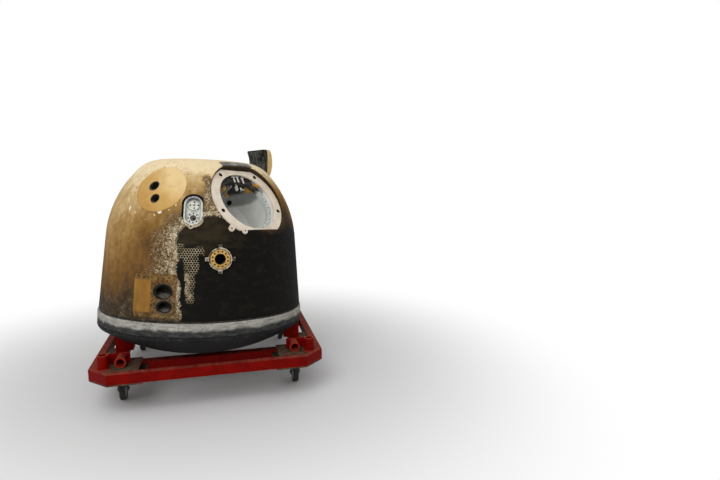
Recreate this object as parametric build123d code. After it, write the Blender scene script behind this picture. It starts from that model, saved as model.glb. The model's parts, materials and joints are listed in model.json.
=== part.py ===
from build123d import *
from math import asin, atan2, cos, degrees, radians, sin, sqrt, tan
import os

# A flown re-entry capsule, leaning in the ring of pads of its square wheeled dolly.
# Lengths are millimetres and angles are degrees.
# The capsule is drawn in its own frame: the origin is the middle of the heat shield's
# rim plane, +Z runs up its axis, and an azimuth of 0 faces the dolly's front (-Y),
# growing towards +X. The dolly is drawn about the middle of the ring of pads.
# The handed-in frame has its origin on the floor under the middle of the outline.

# Outer shape of the capsule: cone, shoulder arc and nose arc, tangent to each other
CONE_FOOT_R = 617.0
CONE_FOOT_U = 30.0
CONE_ANGLE = 5.13
SHOULDER_START_U = 470.0
SHOULDER_R = 665.0
SHOULDER_END_ANGLE = 44.0
NOSE_R = 193.0
SECTION_SPLIT_U = 500.0
SECTION_GAP = 1.0
ABLATOR = 35.0
BOND = 0.5
PROUD = 150.0

# Heat shield
DISH_R = 1093.9
RIM_R = 625.0
RIM_CORNER_R = 31.0
RIM_TOP_U = 20.0
RIM_BOTTOM_U = -57.5
GROOVE_R = 611.0
SHIELD_SEAM = 0.3

# How the capsule sits
LEAN = 5.25
LEAN_AZIMUTH = 146.5
SEAT_GAP = 0.3
SHIELD_GROUND_CLEARANCE = 164.2
SEAT_X = 11.9
SEAT_Y = 22.8

# Thruster groups: the second group is the mirror image about this azimuth
SYMMETRY_AZIMUTH = 62.0
PATCH_AZIMUTH = -28.6
PATCH_U = 753.0
PATCH_R = 145.0
PANEL_AZIMUTH = -24.5
PANEL_U = 166.0
PANEL_WIDTH = 244.0
PANEL_HEIGHT = 232.0
PANEL_CORNER_R = 14.0
INLAY_GAP = 1.5
NOZZLE_WALL = 4.0
NOZZLE_THROAT_R = 9.0
NOZZLE_FIT = 0.4
NOZZLE_RECESS = 3.0
# azimuth, height, mouth radius, depth
UPPER_NOZZLES = (
    (-33.6, 761.0, 27.5, 72.0),
    (-29.7, 691.0, 23.0, 62.0),
)
# azimuth, height, mouth radius, depth, sideways slant
LOWER_NOZZLES = (
    (-19.5, 190.0, 36.0, 96.0, 44.0),
    (-18.5, 109.0, 27.5, 84.0, 44.0),
)

# Umbilical connector in its oblong recess
CONNECTOR_AZIMUTH = -5.3
CONNECTOR_U = 629.0
CONNECTOR_WIDTH = 98.0
CONNECTOR_HEIGHT = 164.0
CONNECTOR_DEPTH = 46.0
CONNECTOR_RIM = 7.0
CONNECTOR_RIM_PROUD = 3.0
CONNECTOR_PLATE = 12.0
CONNECTOR_PLATE_STEP = 8.0
CONNECTOR_LUG_R = 13.0
CONNECTOR_LUG_HOLE_R = 3.5
CONNECTOR_LUG_THICK = 10.5
# lug places across and up the recess
CONNECTOR_LUGS = ((-8.0, -90.0), (56.0, -20.0), (-48.0, -66.0))
UPPER_PLUG_R = 30.0
UPPER_PLUG_UP = 34.0
UPPER_PLUG_PROUD = 16.0
UPPER_PLUG_SLOTS = 4
UPPER_PLUG_SLOT_START = 13.5
UPPER_PLUG_SLOT_END = 24.0
UPPER_PLUG_SLOT_WIDTH = 8.0
UPPER_PLUG_HOLE_R = 4.0
LOWER_PLUG_R = 33.0
LOWER_PLUG_UP = -38.0
LOWER_PLUG_PROUD = 12.0
LOWER_PLUG_BORE_R = 8.0
LOWER_PLUG_PINS = 8
LOWER_PLUG_PIN_R = 3.0
LOWER_PLUG_PIN_CIRCLE_R = 24.0
PLUG_FLOOR = 4.0

# Vent with its bolted ring
VENT_AZIMUTH = 9.4
VENT_U = 368.0
VENT_FLANGE_R = 63.0
VENT_FLANGE_BORE_R = 57.0
VENT_FLANGE_PROUD = 3.0
VENT_FLANGE_DEPTH = 14.0
VENT_LUG_REACH = 80.0
VENT_LUG_WIDTH = 20.0
VENT_RING_R = 53.5
VENT_RING_THICK = 8.0
VENT_RING_RECESS = 2.0
VENT_BORE_R = 30.5
VENT_BOLTS = 12
VENT_BOLT_CIRCLE = 84.0
VENT_BOLT_R = 3.0
VENT_TUBE_WALL = 5.0
VENT_TUBE_DEPTH = 90.0

# Parachute bay: its flange is sunk this far below the plane that touches the shoulder
BAY_AZIMUTH = 37.0
BAY_ELEVATION = 33.0
BAY_SINK = 65.5
BAY_ACROSS = -24.0
BAY_BELOW_TOUCH = 55.5
BAY_MOUTH_R = 186.0
BAY_FLANGE_R = 240.0
BAY_FLANGE_TOP = 212.0
BAY_FLANGE_BOTTOM = 194.0
BAY_FLANGE_THICK = 10.0
BAY_CUT_GAP = 6.0
BAY_CUT_TOP_GAP = 16.0
BAY_BOLT_R = 5.5
BAY_BOLT_CIRCLE_R = 216.0
BAY_BOLT_ANGLES = (54.0, 126.0, 198.0, 342.0)
BAY_LUG_R = 16.0
# foot lug places across and up from the mouth's centre
BAY_LUGS = ((-194.0, -182.0), (-108.0, -200.0))
BAY_LUG_NECK = 60.0
BAY_CAN_R = 194.0
BAY_CAN_WALL = 6.0
BAY_CAN_DEPTH = 300.0
BAY_CAN_TAPER = 40.0
BAY_RING_BORE_R = 166.0
BAY_RING_DEPTH = 46.0
BAY_RING_THICK = 6.0
BAY_RING_BOLTS = 24
BAY_RING_BOLT_R = 3.0
BAY_RING_BOLT_CIRCLE_R = 175.0
# release pin places across and up from the mouth's centre
BAY_PINS = ((-62.0, 140.0), (-38.0, 146.0), (-14.0, 148.0))
BAY_PIN_LENGTH = 80.0
BAY_PIN_R = 6.0
BAY_PIN_DEPTH = 60.0
BAY_BRACKET_ACROSS = -38.0
BAY_BRACKET_UP = 128.0
BAY_BRACKET_WIDTH = 104.0
BAY_BRACKET_THICK = 12.0
BAY_STRAP_WIDTH = 212.0
BAY_STRAP_LENGTH = 36.0
BAY_STRAP_THICK = 8.0

# Hatch with its cover, hinged along the edge furthest from the axis
HATCH_AZIMUTH = 117.3
HATCH_EDGE_ANGLE = 42.5
HATCH_FAR_R = 250.0
HATCH_WIDTH = 238.0
HATCH_LENGTH = 178.0
HATCH_CORNER_R = 18.0
HATCH_HINGE_GAP = 16.0
HATCH_SIDE_GAP = 10.0
HATCH_DEPTH = 92.0
HATCH_OPEN = 66.0
HATCH_WELL_WALL = 3.0
HATCH_WELL_INSET = 12.0
HATCH_SKIN = 4.0
HATCH_RIB_DEPTH = 14.0
HATCH_RIB_WIDTH = 5.0
HATCH_RIB_PITCH = 38.0
HATCH_RIBS = 5
HINGE_DEPTH = 14.0
HINGE_PIN_R = 5.0
HINGE_RUNNING = 0.05
HINGE_BOSS_R = 8.5
HINGE_EAR_X = 90.0
HINGE_EAR_WIDTH = 10.0
HINGE_ARM_X = 66.0
HINGE_ARM_WIDTH = 12.0
HINGE_ARM_REACH = 48.0

# Dolly frame
FRAME_HALF = 645.0
FRAME_CHAMFER = 108.0
RAIL_WIDTH = 42.0
RAIL_BOTTOM = 195.0
RAIL_TOP = 252.0
CORNER_PLATE_TOP = 246.0
CORNER_PLATE_THICK = 6.0
CORNER_PLATE_GAP = 50.0
SIDE_PLATE_REACH = 180.0
SOLE_THICK = 8.0
SOLE_REACH = 360.0
BEAM_Y = 300.0
BEAM_WIDTH = 60.0
BEAM_HEIGHT = 50.0
POST_X = 505.0
POST_SIDE = 68.0
POST_TOP = 275.0
PAD_X = 488.0
PAD_WIDTH = 96.0
PAD_HEIGHT = 110.0
STUB_R = 30.0
STUB_BORE_R = 18.0
SLEEVE_R = 30.0
SLEEVE_BORE_R = 20.0
SLEEVE_TOP = 325.0
# places in the corner, set back from the frame's outside
RIB_SETBACK = 185.0
RIB_THICK = 6.0
RIB_HEIGHT = 60.0
RIB_INNER_SETBACK = 205.0
STUB_SETBACK_X = 163.0
STUB_FACE_SETBACK = 111.0
SLEEVE_SETBACK_X = 75.0
SLEEVE_SETBACK_Y = 120.0

# Swivel casters
CASTER_SETBACK = 145.0
CASTER_BEAM_GAP = 44.0
CASTER_TRAIL = 38.0
WHEEL_R = 62.5
WHEEL_WIDTH = 32.0
TYRE_THICK = 13.0
TYRE_EDGE_R = 5.2
HUB_WIDTH = 25.6
HUB_BOSS_R = 14.4
HUB_BOSS_PROUD = 2.0
AXLE_R = 6.0
KINGPIN_R = 9.0
CASTER_RUNNING = 0.05
CASTER_PLATE_SIDE = 92.0
CASTER_PLATE_THICK = 6.0
SWIVEL_CUP_R = 30.0
SWIVEL_CUP_HEIGHT = 20.0
FORK_GAP = 6.0
FORK_LEG_THICK = 5.0
FORK_LEG_WIDTH = 34.0
FORK_CROWN_THICK = 7.0
SWIVEL_GAP = 1.0

# Worked out from the values above
SHIELD_CENTRE_U = sqrt((DISH_R - RIM_CORNER_R) ** 2 - (RIM_R - RIM_CORNER_R) ** 2)
DISH_CENTRE_U = RIM_BOTTOM_U + SHIELD_CENTRE_U
DISH_CENTRE_Z = SHIELD_GROUND_CLEARANCE + DISH_R
POST_Y = (BEAM_Y - POST_SIDE / 2, BEAM_Y + POST_SIDE / 2)
CORNER_PLATE_REACH = POST_Y[1] + CORNER_PLATE_GAP
RIB_Y = FRAME_HALF - RIB_SETBACK
STUB_X = FRAME_HALF - STUB_SETBACK_X
STUB_FACE_Y = FRAME_HALF - STUB_FACE_SETBACK
SLEEVE_X = FRAME_HALF - SLEEVE_SETBACK_X
SLEEVE_Y = FRAME_HALF - SLEEVE_SETBACK_Y
CASTER_X = FRAME_HALF - CASTER_SETBACK
CASTER_Y = BEAM_Y + BEAM_WIDTH / 2 + CASTER_BEAM_GAP + CASTER_PLATE_SIDE / 2


def polar(radius, angle, centre=(0.0, 0.0)):
    """A point at a radius and an angle from a centre, in a plane drawing."""
    return (centre[0] + radius * cos(radians(angle)), centre[1] + radius * sin(radians(angle)))


def outward(azimuth):
    """The level direction that faces an azimuth: 0 is -Y, 90 is +X."""
    return Vector(sin(radians(azimuth)), -cos(radians(azimuth)), 0)


CONE_END_R = CONE_FOOT_R - (SHOULDER_START_U - CONE_FOOT_U) * tan(radians(CONE_ANGLE))
SHOULDER_CENTRE = polar(-SHOULDER_R, CONE_ANGLE, (CONE_END_R, SHOULDER_START_U))
SHOULDER_END = polar(SHOULDER_R, SHOULDER_END_ANGLE, SHOULDER_CENTRE)
NOSE_CENTRE = polar(-NOSE_R, SHOULDER_END_ANGLE, SHOULDER_END)
APEX_U = NOSE_CENTRE[1] + NOSE_R
BAY_SIN, BAY_COS = sin(radians(BAY_ELEVATION)), cos(radians(BAY_ELEVATION))
BAY_PLANE = SHOULDER_CENTRE[0] * BAY_COS + SHOULDER_CENTRE[1] * BAY_SIN + SHOULDER_R - BAY_SINK
BAY_UP = SHOULDER_CENTRE[1] * BAY_COS - SHOULDER_CENTRE[0] * BAY_SIN - BAY_BELOW_TOUCH


def arc(centre, radius, start, end):
    """An arc of a plane drawing, from one angle to another."""
    middle = (start + end) / 2
    return ThreePointArc(*(polar(radius, angle, centre) for angle in (start, middle, end)))


def turned(edges):
    """Turn a closed outline of radius and height about the capsule's axis."""
    return revolve(Plane.XZ * make_face(edges), Axis.Z)


def outer_shape(inset=0.0):
    """The cone, shoulder and nose as one solid, with every face moved in by inset."""
    foot = (CONE_FOOT_R - inset / cos(radians(CONE_ANGLE)), CONE_FOOT_U)
    cone_end = polar(SHOULDER_R - inset, CONE_ANGLE, SHOULDER_CENTRE)
    apex = (0, APEX_U - inset)
    nose_end = (NOSE_CENTRE[0], APEX_U - inset)
    return turned([
        Line((0, CONE_FOOT_U), foot),
        Line(foot, cone_end),
        arc(SHOULDER_CENTRE, SHOULDER_R - inset, CONE_ANGLE, SHOULDER_END_ANGLE),
        arc(NOSE_CENTRE, NOSE_R - inset, SHOULDER_END_ANGLE, 90),
        Line(nose_end, apex),
        Line(apex, (0, CONE_FOOT_U)),
    ])


def surface(u):
    """Radius and slope of the outer shape at a height: slope is the normal's elevation."""
    if u < SHOULDER_START_U:
        return CONE_FOOT_R - (u - CONE_FOOT_U) * tan(radians(CONE_ANGLE)), CONE_ANGLE
    centre, radius = SHOULDER_CENTRE, SHOULDER_R
    if u > SHOULDER_END[1]:
        centre, radius = NOSE_CENTRE, NOSE_R
    slope = degrees(asin((u - centre[1]) / radius))
    return centre[0] + radius * cos(radians(slope)), slope


def station(azimuth, u):
    """A plane on the outer shape: x runs level, y runs up the surface, z faces out."""
    radius, slope = surface(u)
    level = outward(azimuth)
    normal = level * cos(radians(slope)) + Vector(0, 0, sin(radians(slope)))
    return Plane(level * radius + Vector(0, 0, u), x_dir=Vector(0, 0, 1).cross(level), z_dir=normal)


def drum(radius, low, high):
    """A cylinder about z between two heights."""
    return Pos(0, 0, (low + high) / 2) * Cylinder(radius, high - low)


def bar(x, y, z):
    """A box given by its three ranges."""
    size = [high - low for low, high in (x, y, z)]
    return Pos(*((low + high) / 2 for low, high in (x, y, z))) * Box(*size)


def ring(radius, bore, low, high):
    """A flat ring about z between two heights."""
    return drum(radius, low, high) - drum(bore, low - 1, high + 1)


def around(shape, count):
    """Copies of a shape, evenly spaced about z."""
    return [Rot(0, 0, 360 / count * k) * shape for k in range(count)]


OUTER = outer_shape()
UNDER_ABLATOR = outer_shape(ABLATOR)
UNDER_BOND = outer_shape(ABLATOR + BOND)
MIRROR = Plane((0, 0, 0), x_dir=(0, 0, 1), z_dir=outward(SYMMETRY_AZIMUTH + 90))


def both(shape):
    """A shape and its mirror image in the capsule's plane of symmetry."""
    return [shape, mirror(shape, about=MIRROR)]


def heat_shield():
    """The charcoal dish, its weathered rim and the dark ring in the groove over the rim."""
    corner_centre = (RIM_R - RIM_CORNER_R, RIM_BOTTOM_U)
    tangent = -degrees(atan2(SHIELD_CENTRE_U, RIM_R - RIM_CORNER_R))
    dish = turned([
        Line((0, RIM_BOTTOM_U), (RIM_R, RIM_BOTTOM_U)),
        arc(corner_centre, RIM_CORNER_R, 0, tangent),
        arc((0, DISH_CENTRE_U), DISH_R, tangent, -90),
        Line((0, DISH_CENTRE_U - DISH_R), (0, RIM_BOTTOM_U)),
    ])
    rim = drum(RIM_R, RIM_BOTTOM_U + SHIELD_SEAM, RIM_TOP_U)
    groove = drum(GROOVE_R, RIM_TOP_U + SHIELD_SEAM, CONE_FOOT_U - SHIELD_SEAM)
    return {"heat_shield_dish": dish, "heat_shield_rim": rim, "groove_ring": groove}


def bell(radius, depth):
    """A conical nozzle with its mouth at z = 0, left long there so that it can be trimmed."""
    return turned([
        Line((0, -depth), (radius + NOZZLE_WALL, -depth)),
        Line((radius + NOZZLE_WALL, -depth), (radius + NOZZLE_WALL, PROUD)),
        Line((radius + NOZZLE_WALL, PROUD), (radius, PROUD)),
        Line((radius, PROUD), (radius, 0)),
        Line((radius, 0), (NOZZLE_THROAT_R, NOZZLE_WALL - depth)),
        Line((NOZZLE_THROAT_R, NOZZLE_WALL - depth), (0, NOZZLE_WALL - depth)),
        Line((0, NOZZLE_WALL - depth), (0, -depth)),
    ])


def thruster_patch():
    """The round smooth patch of the shoulder with its two straight nozzles."""
    place = station(PATCH_AZIMUTH, PATCH_U)
    patch = OUTER - UNDER_ABLATOR & place * drum(PATCH_R, -PROUD, PROUD)
    pocket = place * drum(PATCH_R + INLAY_GAP, -PROUD, PROUD) - UNDER_BOND
    nozzles = []
    for azimuth, u, radius, depth in UPPER_NOZZLES:
        mouth = station(azimuth, u)
        hole = mouth * drum(radius + NOZZLE_WALL + NOZZLE_FIT, -depth - NOZZLE_FIT, PROUD)
        patch -= hole
        pocket += hole
        nozzles.append(mouth * bell(radius, depth) & outer_shape(NOZZLE_RECESS))
    return patch, nozzles, pocket


def thruster_panel():
    """The panel low on the cone with its two slanted nozzles."""
    place = station(PANEL_AZIMUTH, PANEL_U)

    def block(grow):
        face = RectangleRounded(PANEL_WIDTH + 2 * grow, PANEL_HEIGHT + 2 * grow, PANEL_CORNER_R + grow)
        return place * Pos(0, 0, -PROUD) * extrude(face, 2 * PROUD)

    panel = OUTER - UNDER_ABLATOR & block(0)
    pocket = block(INLAY_GAP) - UNDER_BOND
    nozzles = []
    for azimuth, u, radius, depth, slant in LOWER_NOZZLES:
        mouth = station(azimuth, u) * Rot(0, slant, 0)
        hole = mouth * drum(radius + NOZZLE_WALL + NOZZLE_FIT, -depth - NOZZLE_FIT, PROUD)
        panel -= hole
        pocket += hole
        nozzles.append(mouth * bell(radius, depth) & outer_shape(NOZZLE_RECESS))
    return panel, nozzles, pocket


def connector():
    """The oblong recess with its rim, stepped plate and two plugs."""
    place = station(CONNECTOR_AZIMUTH, CONNECTOR_U)

    def oblong(inset, low, high):
        face = SlotOverall(CONNECTOR_HEIGHT - 2 * inset, CONNECTOR_WIDTH - 2 * inset, rotation=90)
        return Pos(0, 0, low) * extrude(face, high - low)

    def lugs(radius, low, high):
        return [Pos(x, y, 0) * drum(radius, low, high) for x, y in CONNECTOR_LUGS]

    floor = -CONNECTOR_DEPTH
    rim_top = CONNECTOR_RIM_PROUD
    rim = oblong(0, floor, rim_top)
    rim_low = rim_top - CONNECTOR_LUG_THICK
    rim += lugs(CONNECTOR_LUG_R, rim_low, rim_top)
    rim -= oblong(CONNECTOR_RIM, floor - 1, rim_top + 1)
    rim -= lugs(CONNECTOR_LUG_HOLE_R, rim_low - 1, rim_top + 1)
    recess = oblong(-BOND, floor - BOND, PROUD)
    recess += lugs(CONNECTOR_LUG_R + BOND, rim_low - BOND, PROUD)
    plate_inset = CONNECTOR_RIM + BOND
    plate_top = floor + CONNECTOR_PLATE
    plate = oblong(plate_inset, floor, plate_top)
    plate += oblong(plate_inset + CONNECTOR_PLATE_STEP, plate_top, plate_top + CONNECTOR_PLATE_STEP)
    step_top = plate_top + CONNECTOR_PLATE_STEP
    upper_top = step_top + UPPER_PLUG_PROUD
    lower_top = step_top + LOWER_PLUG_PROUD
    hole_low = step_top + PLUG_FLOOR
    upper = drum(UPPER_PLUG_R, step_top, upper_top)
    slot_half = UPPER_PLUG_SLOT_WIDTH / 2
    slot_reach = (UPPER_PLUG_SLOT_START, UPPER_PLUG_SLOT_END)
    slot = bar(slot_reach, (-slot_half, slot_half), (hole_low, upper_top + 1))
    upper -= around(Rot(0, 0, 45) * slot, UPPER_PLUG_SLOTS)
    upper -= drum(UPPER_PLUG_HOLE_R, hole_low, upper_top + 1)
    lower = drum(LOWER_PLUG_R, step_top, lower_top)
    lower -= drum(LOWER_PLUG_BORE_R, hole_low, lower_top + 1)
    pin = Pos(LOWER_PLUG_PIN_CIRCLE_R, 0, 0) * drum(LOWER_PLUG_PIN_R, hole_low, lower_top + 1)
    lower -= around(pin, LOWER_PLUG_PINS)
    pieces = {
        "connector_rim": rim,
        "connector_plate": plate,
        "connector_upper_plug": Pos(0, UPPER_PLUG_UP, 0) * upper,
        "connector_lower_plug": Pos(0, LOWER_PLUG_UP, 0) * lower,
    }
    return {name: place * piece for name, piece in pieces.items()}, place * recess


def vent():
    """The lugged flange, the bolted ring inside it and the blind tube behind."""
    place = station(VENT_AZIMUTH, VENT_U)
    half = VENT_LUG_WIDTH / 2

    def lugged(grow, low, high):
        reach = VENT_LUG_REACH + grow
        arm = bar((-reach, reach), (-half - grow, half + grow), (low, high))
        return drum(VENT_FLANGE_R + grow, low, high) + arm + Rot(0, 0, 90) * arm

    top = VENT_FLANGE_PROUD
    low = top - VENT_FLANGE_DEPTH
    flange = lugged(0, low, top) - drum(VENT_FLANGE_BORE_R, low - 1, top + 1)
    ring_top = -VENT_RING_RECESS
    ring_low = ring_top - VENT_RING_THICK
    bolted = ring(VENT_RING_R, VENT_BORE_R, ring_low, ring_top)
    bolt = Pos(VENT_BOLT_CIRCLE / 2, 0, 0) * drum(VENT_BOLT_R, ring_low - 1, ring_top + 1)
    bolted -= around(Rot(0, 0, 180 / VENT_BOLTS) * bolt, VENT_BOLTS)
    tube_low = ring_low - VENT_TUBE_DEPTH
    tube = drum(VENT_BORE_R + VENT_TUBE_WALL, tube_low, ring_low)
    tube += ring(VENT_FLANGE_BORE_R, VENT_BORE_R, low - VENT_TUBE_WALL, ring_low)
    tube -= drum(VENT_BORE_R, tube_low + VENT_TUBE_WALL, ring_low + 1)
    recess = lugged(BOND, low - BOND, PROUD)
    recess += drum(VENT_FLANGE_BORE_R + BOND, low - VENT_TUBE_WALL - BOND, low)
    recess += drum(VENT_BORE_R + VENT_TUBE_WALL + BOND, tube_low - BOND, low)
    pieces = {"vent_flange": flange, "vent_ring": bolted, "vent_tube": tube}
    return {name: place * piece for name, piece in pieces.items()}, place * recess


def bay_place():
    """The plane of the parachute bay's flange, centred on the mouth."""
    level = outward(BAY_AZIMUTH)
    normal = level * BAY_COS + Vector(0, 0, BAY_SIN)
    across = Vector(0, 0, 1).cross(level)
    up = normal.cross(across)
    return Plane(normal * BAY_PLANE + across * BAY_ACROSS + up * BAY_UP, x_dir=across, z_dir=normal)


def parachute_bay():
    """The bay's flange, can, fastener ring, release pins and the strap above the mouth."""
    place = bay_place()

    def outline(grow, top_grow):
        disc = Circle(BAY_FLANGE_R + grow)
        height = BAY_FLANGE_TOP + top_grow + BAY_FLANGE_BOTTOM + grow
        middle = (BAY_FLANGE_TOP + top_grow - BAY_FLANGE_BOTTOM - grow) / 2
        face = disc & Pos(0, middle) * Rectangle(3 * BAY_FLANGE_R, height)
        for x, y in BAY_LUGS:
            neck = Pos(BAY_LUG_NECK / 2, 0) * Rectangle(BAY_LUG_NECK, 2 * (BAY_LUG_R + grow))
            turn = degrees(atan2(-y, -x))
            face += Pos(x, y) * Rot(0, 0, turn) * (neck + Circle(BAY_LUG_R + grow))
        return face

    back = -BAY_FLANGE_THICK
    flange = Pos(0, 0, back) * extrude(outline(0, 0), BAY_FLANGE_THICK)
    flange -= drum(BAY_MOUTH_R, back - 1, 1)
    for angle in BAY_BOLT_ANGLES:
        flange -= Pos(*polar(BAY_BOLT_CIRCLE_R, angle)) * drum(BAY_BOLT_R, back - 1, 1)
    floor = back - BAY_CAN_DEPTH
    taper_top = floor + BAY_CAN_TAPER
    wall = BAY_CAN_WALL

    def vessel(radius, low, high):
        foot = radius - BAY_CAN_TAPER
        return drum(radius, low + BAY_CAN_TAPER, high) + Pos(0, 0, low + BAY_CAN_TAPER / 2) * Cone(
            foot, radius, BAY_CAN_TAPER)

    can = vessel(BAY_CAN_R, floor, back - BOND)
    can -= vessel(BAY_CAN_R - wall, floor + wall, back + 1)
    cut = vessel(BAY_CAN_R + BOND, floor - BOND, back)
    cut += Pos(0, 0, back - BOND) * extrude(outline(BAY_CUT_GAP, BAY_CUT_TOP_GAP), 2 * PROUD)
    strap_low = BAY_FLANGE_TOP + BAY_CUT_TOP_GAP + BOND
    strap_half = BAY_STRAP_WIDTH / 2
    strap_zone = bar((-strap_half, strap_half), (strap_low, strap_low + BAY_STRAP_LENGTH), (0, 2 * PROUD))
    strap = OUTER - outer_shape(BAY_STRAP_THICK) & place * strap_zone
    strap_end = strap_low + BAY_STRAP_LENGTH + BOND
    strap_cut = bar((-strap_half - BOND, strap_half + BOND), (0, strap_end), (0, 2 * PROUD))
    cut = place * cut + (place * strap_cut - outer_shape(BAY_STRAP_THICK + BOND))
    ring_top = back - BAY_RING_DEPTH
    ring_low = ring_top - BAY_RING_THICK
    fastener = Pos(BAY_RING_BOLT_CIRCLE_R, 0, 0) * drum(BAY_RING_BOLT_R, ring_low - 1, ring_top + 1)
    liner = ring(BAY_CAN_R - wall - BOND, BAY_RING_BORE_R, ring_low, ring_top)
    liner -= around(fastener, BAY_RING_BOLTS)
    pin_low = back - BAY_PIN_DEPTH - BAY_PIN_LENGTH
    bracket_foot = bar(
        (BAY_BRACKET_ACROSS - BAY_BRACKET_WIDTH / 2, BAY_BRACKET_ACROSS + BAY_BRACKET_WIDTH / 2),
        (BAY_BRACKET_UP, BAY_CAN_R),
        (pin_low - BAY_BRACKET_THICK, pin_low),
    )
    pins = bracket_foot & drum(BAY_CAN_R - wall - BOND, -BAY_CAN_DEPTH, 0)
    for x, y in BAY_PINS:
        pins += Pos(x, y, 0) * drum(BAY_PIN_R, pin_low - 1, pin_low + BAY_PIN_LENGTH)
    pieces = {"bay_flange": flange, "bay_can": can, "bay_fastener_ring": liner, "bay_release_pins": pins}
    return {name: place * piece for name, piece in pieces.items()} | {"bay_strap": strap}, cut


def hatch_place():
    """The plane of the hatch: the origin is on its hinge edge and y runs to its far edge."""
    near = polar(SHOULDER_R, HATCH_EDGE_ANGLE, SHOULDER_CENTRE)
    far = (HATCH_FAR_R, APEX_U)
    rise = atan2(far[1] - near[1], near[0] - far[0])
    level = outward(HATCH_AZIMUTH)
    normal = level * sin(rise) + Vector(0, 0, cos(rise))
    return Plane(level * near[0] + Vector(0, 0, near[1]), x_dir=Vector(0, 0, 1).cross(level), z_dir=normal)


def hatch():
    """The hatch's well and hinge, and the cover's tile and ribbed panel, opened."""
    place = hatch_place()
    middle_y = HATCH_HINGE_GAP + HATCH_LENGTH / 2

    def prism(grow):
        face = RectangleRounded(HATCH_WIDTH + 2 * grow, HATCH_LENGTH + 2 * grow, HATCH_CORNER_R + grow)
        return place * Pos(0, middle_y, -PROUD) * extrude(face, 2 * PROUD)

    half_x = HATCH_WIDTH / 2 + HATCH_SIDE_GAP
    near_y = -HATCH_HINGE_GAP
    far_y = HATCH_HINGE_GAP + HATCH_LENGTH + HATCH_SIDE_GAP
    pocket = place * bar((-half_x, half_x), (near_y, far_y), (-HATCH_DEPTH, PROUD))
    wall = HATCH_WELL_WALL
    inside = place * bar(
        (-half_x + wall, half_x - wall), (near_y + wall, far_y - wall), (-HATCH_DEPTH + wall, PROUD))
    well = (pocket & outer_shape(HATCH_WELL_INSET)) - inside

    tile = OUTER - UNDER_ABLATOR & prism(0)
    skin_low = ABLATOR + BOND + HATCH_SKIN
    panel = UNDER_BOND - outer_shape(skin_low) & prism(-HATCH_SIDE_GAP)
    ribs_zone = UNDER_BOND - outer_shape(skin_low + HATCH_RIB_DEPTH) & prism(-HATCH_SIDE_GAP)
    for k in range(HATCH_RIBS):
        x = (k - (HATCH_RIBS - 1) / 2) * HATCH_RIB_PITCH
        half = HATCH_RIB_WIDTH / 2
        panel += ribs_zone & place * bar((x - half, x + half), (0, far_y), (-PROUD, PROUD))

    pin_axis = place * Pos(0, 0, -HINGE_DEPTH) * Rot(0, 90, 0)
    well_floor = -HATCH_DEPTH + wall
    arm_low = -ABLATOR - HATCH_SKIN - HATCH_RIB_DEPTH
    boss = HINGE_BOSS_R
    ears = pin_axis * drum(HINGE_PIN_R, -HINGE_EAR_X, HINGE_EAR_X)
    for side in (-1, 1):
        ear_x = sorted((side * HINGE_EAR_X, side * (HINGE_EAR_X + HINGE_EAR_WIDTH)))
        ears += place * bar(ear_x, (-boss, boss), (well_floor, -HINGE_DEPTH))
        ears += pin_axis * drum(boss, *ear_x)
        arm_x = sorted((side * HINGE_ARM_X, side * (HINGE_ARM_X + HINGE_ARM_WIDTH)))
        arm = place * bar(arm_x, (-boss, boss), (arm_low, -HINGE_DEPTH)) + pin_axis * drum(boss, *arm_x)
        foot_top = arm_low + HATCH_RIB_DEPTH + HATCH_SKIN
        arm += place * bar(arm_x, (-boss, HINGE_ARM_REACH), (arm_low, foot_top))
        arm -= prism(BOND) - UNDER_BOND
        panel += arm
    panel -= pin_axis * drum(HINGE_PIN_R + HINGE_RUNNING, -HINGE_EAR_X, HINGE_EAR_X)
    swing = Axis(pin_axis.position, place.x_dir)
    cover = {"hatch_cover_tile": tile, "hatch_cover_panel": panel}
    pieces = {name: piece.rotate(swing, HATCH_OPEN) for name, piece in cover.items()}
    pieces["hatch_well"] = well
    pieces["hatch_hinge"] = ears
    return pieces, pocket, swing


def capsule():
    """Every piece of the capsule in its own frame, and the hatch's hinge axis."""
    patch, upper_nozzles, patch_pocket = thruster_patch()
    panel, lower_nozzles, panel_pocket = thruster_panel()
    connector_pieces, connector_recess = connector()
    vent_pieces, vent_recess = vent()
    bay_pieces, bay_cut = parachute_bay()
    hatch_pieces, hatch_pocket, swing = hatch()
    cuts = both(patch_pocket) + both(panel_pocket)
    cuts += [connector_recess, vent_recess, bay_cut, hatch_pocket]
    split = SECTION_SPLIT_U
    cone = OUTER & drum(2 * RIM_R, CONE_FOOT_U, split)
    nose = OUTER & drum(2 * RIM_R, split + SECTION_GAP, 2 * APEX_U)
    for cut in cuts:
        cone -= cut
        nose -= cut
    pieces = heat_shield()
    pieces |= {
        "cone_section": cone,
        "nose_section": nose,
        "thruster_patches": both(patch),
        "upper_nozzles": [copy for nozzle in upper_nozzles for copy in both(nozzle)],
        "thruster_panels": both(panel),
        "lower_nozzles": [copy for nozzle in lower_nozzles for copy in both(nozzle)],
    }
    return pieces | connector_pieces | vent_pieces | bay_pieces | hatch_pieces, swing


def seated(shape):
    """A piece of the capsule, leaned in the ring of pads about the dish's centre."""
    lean = outward(LEAN_AZIMUTH)
    axis = Axis((0, 0, 0), Vector(0, 0, 1).cross(lean))
    upright = Pos(0, 0, -DISH_CENTRE_U) * shape
    return Pos(SEAT_X, SEAT_Y, DISH_CENTRE_Z) * upright.rotate(axis, LEAN)


def corners(shape):
    """A piece of the dolly's corner at +X +Y, and its images in the other corners."""
    right = [shape, mirror(shape, about=Plane.XZ)]
    return right + [mirror(piece, about=Plane.YZ) for piece in right]


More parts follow.
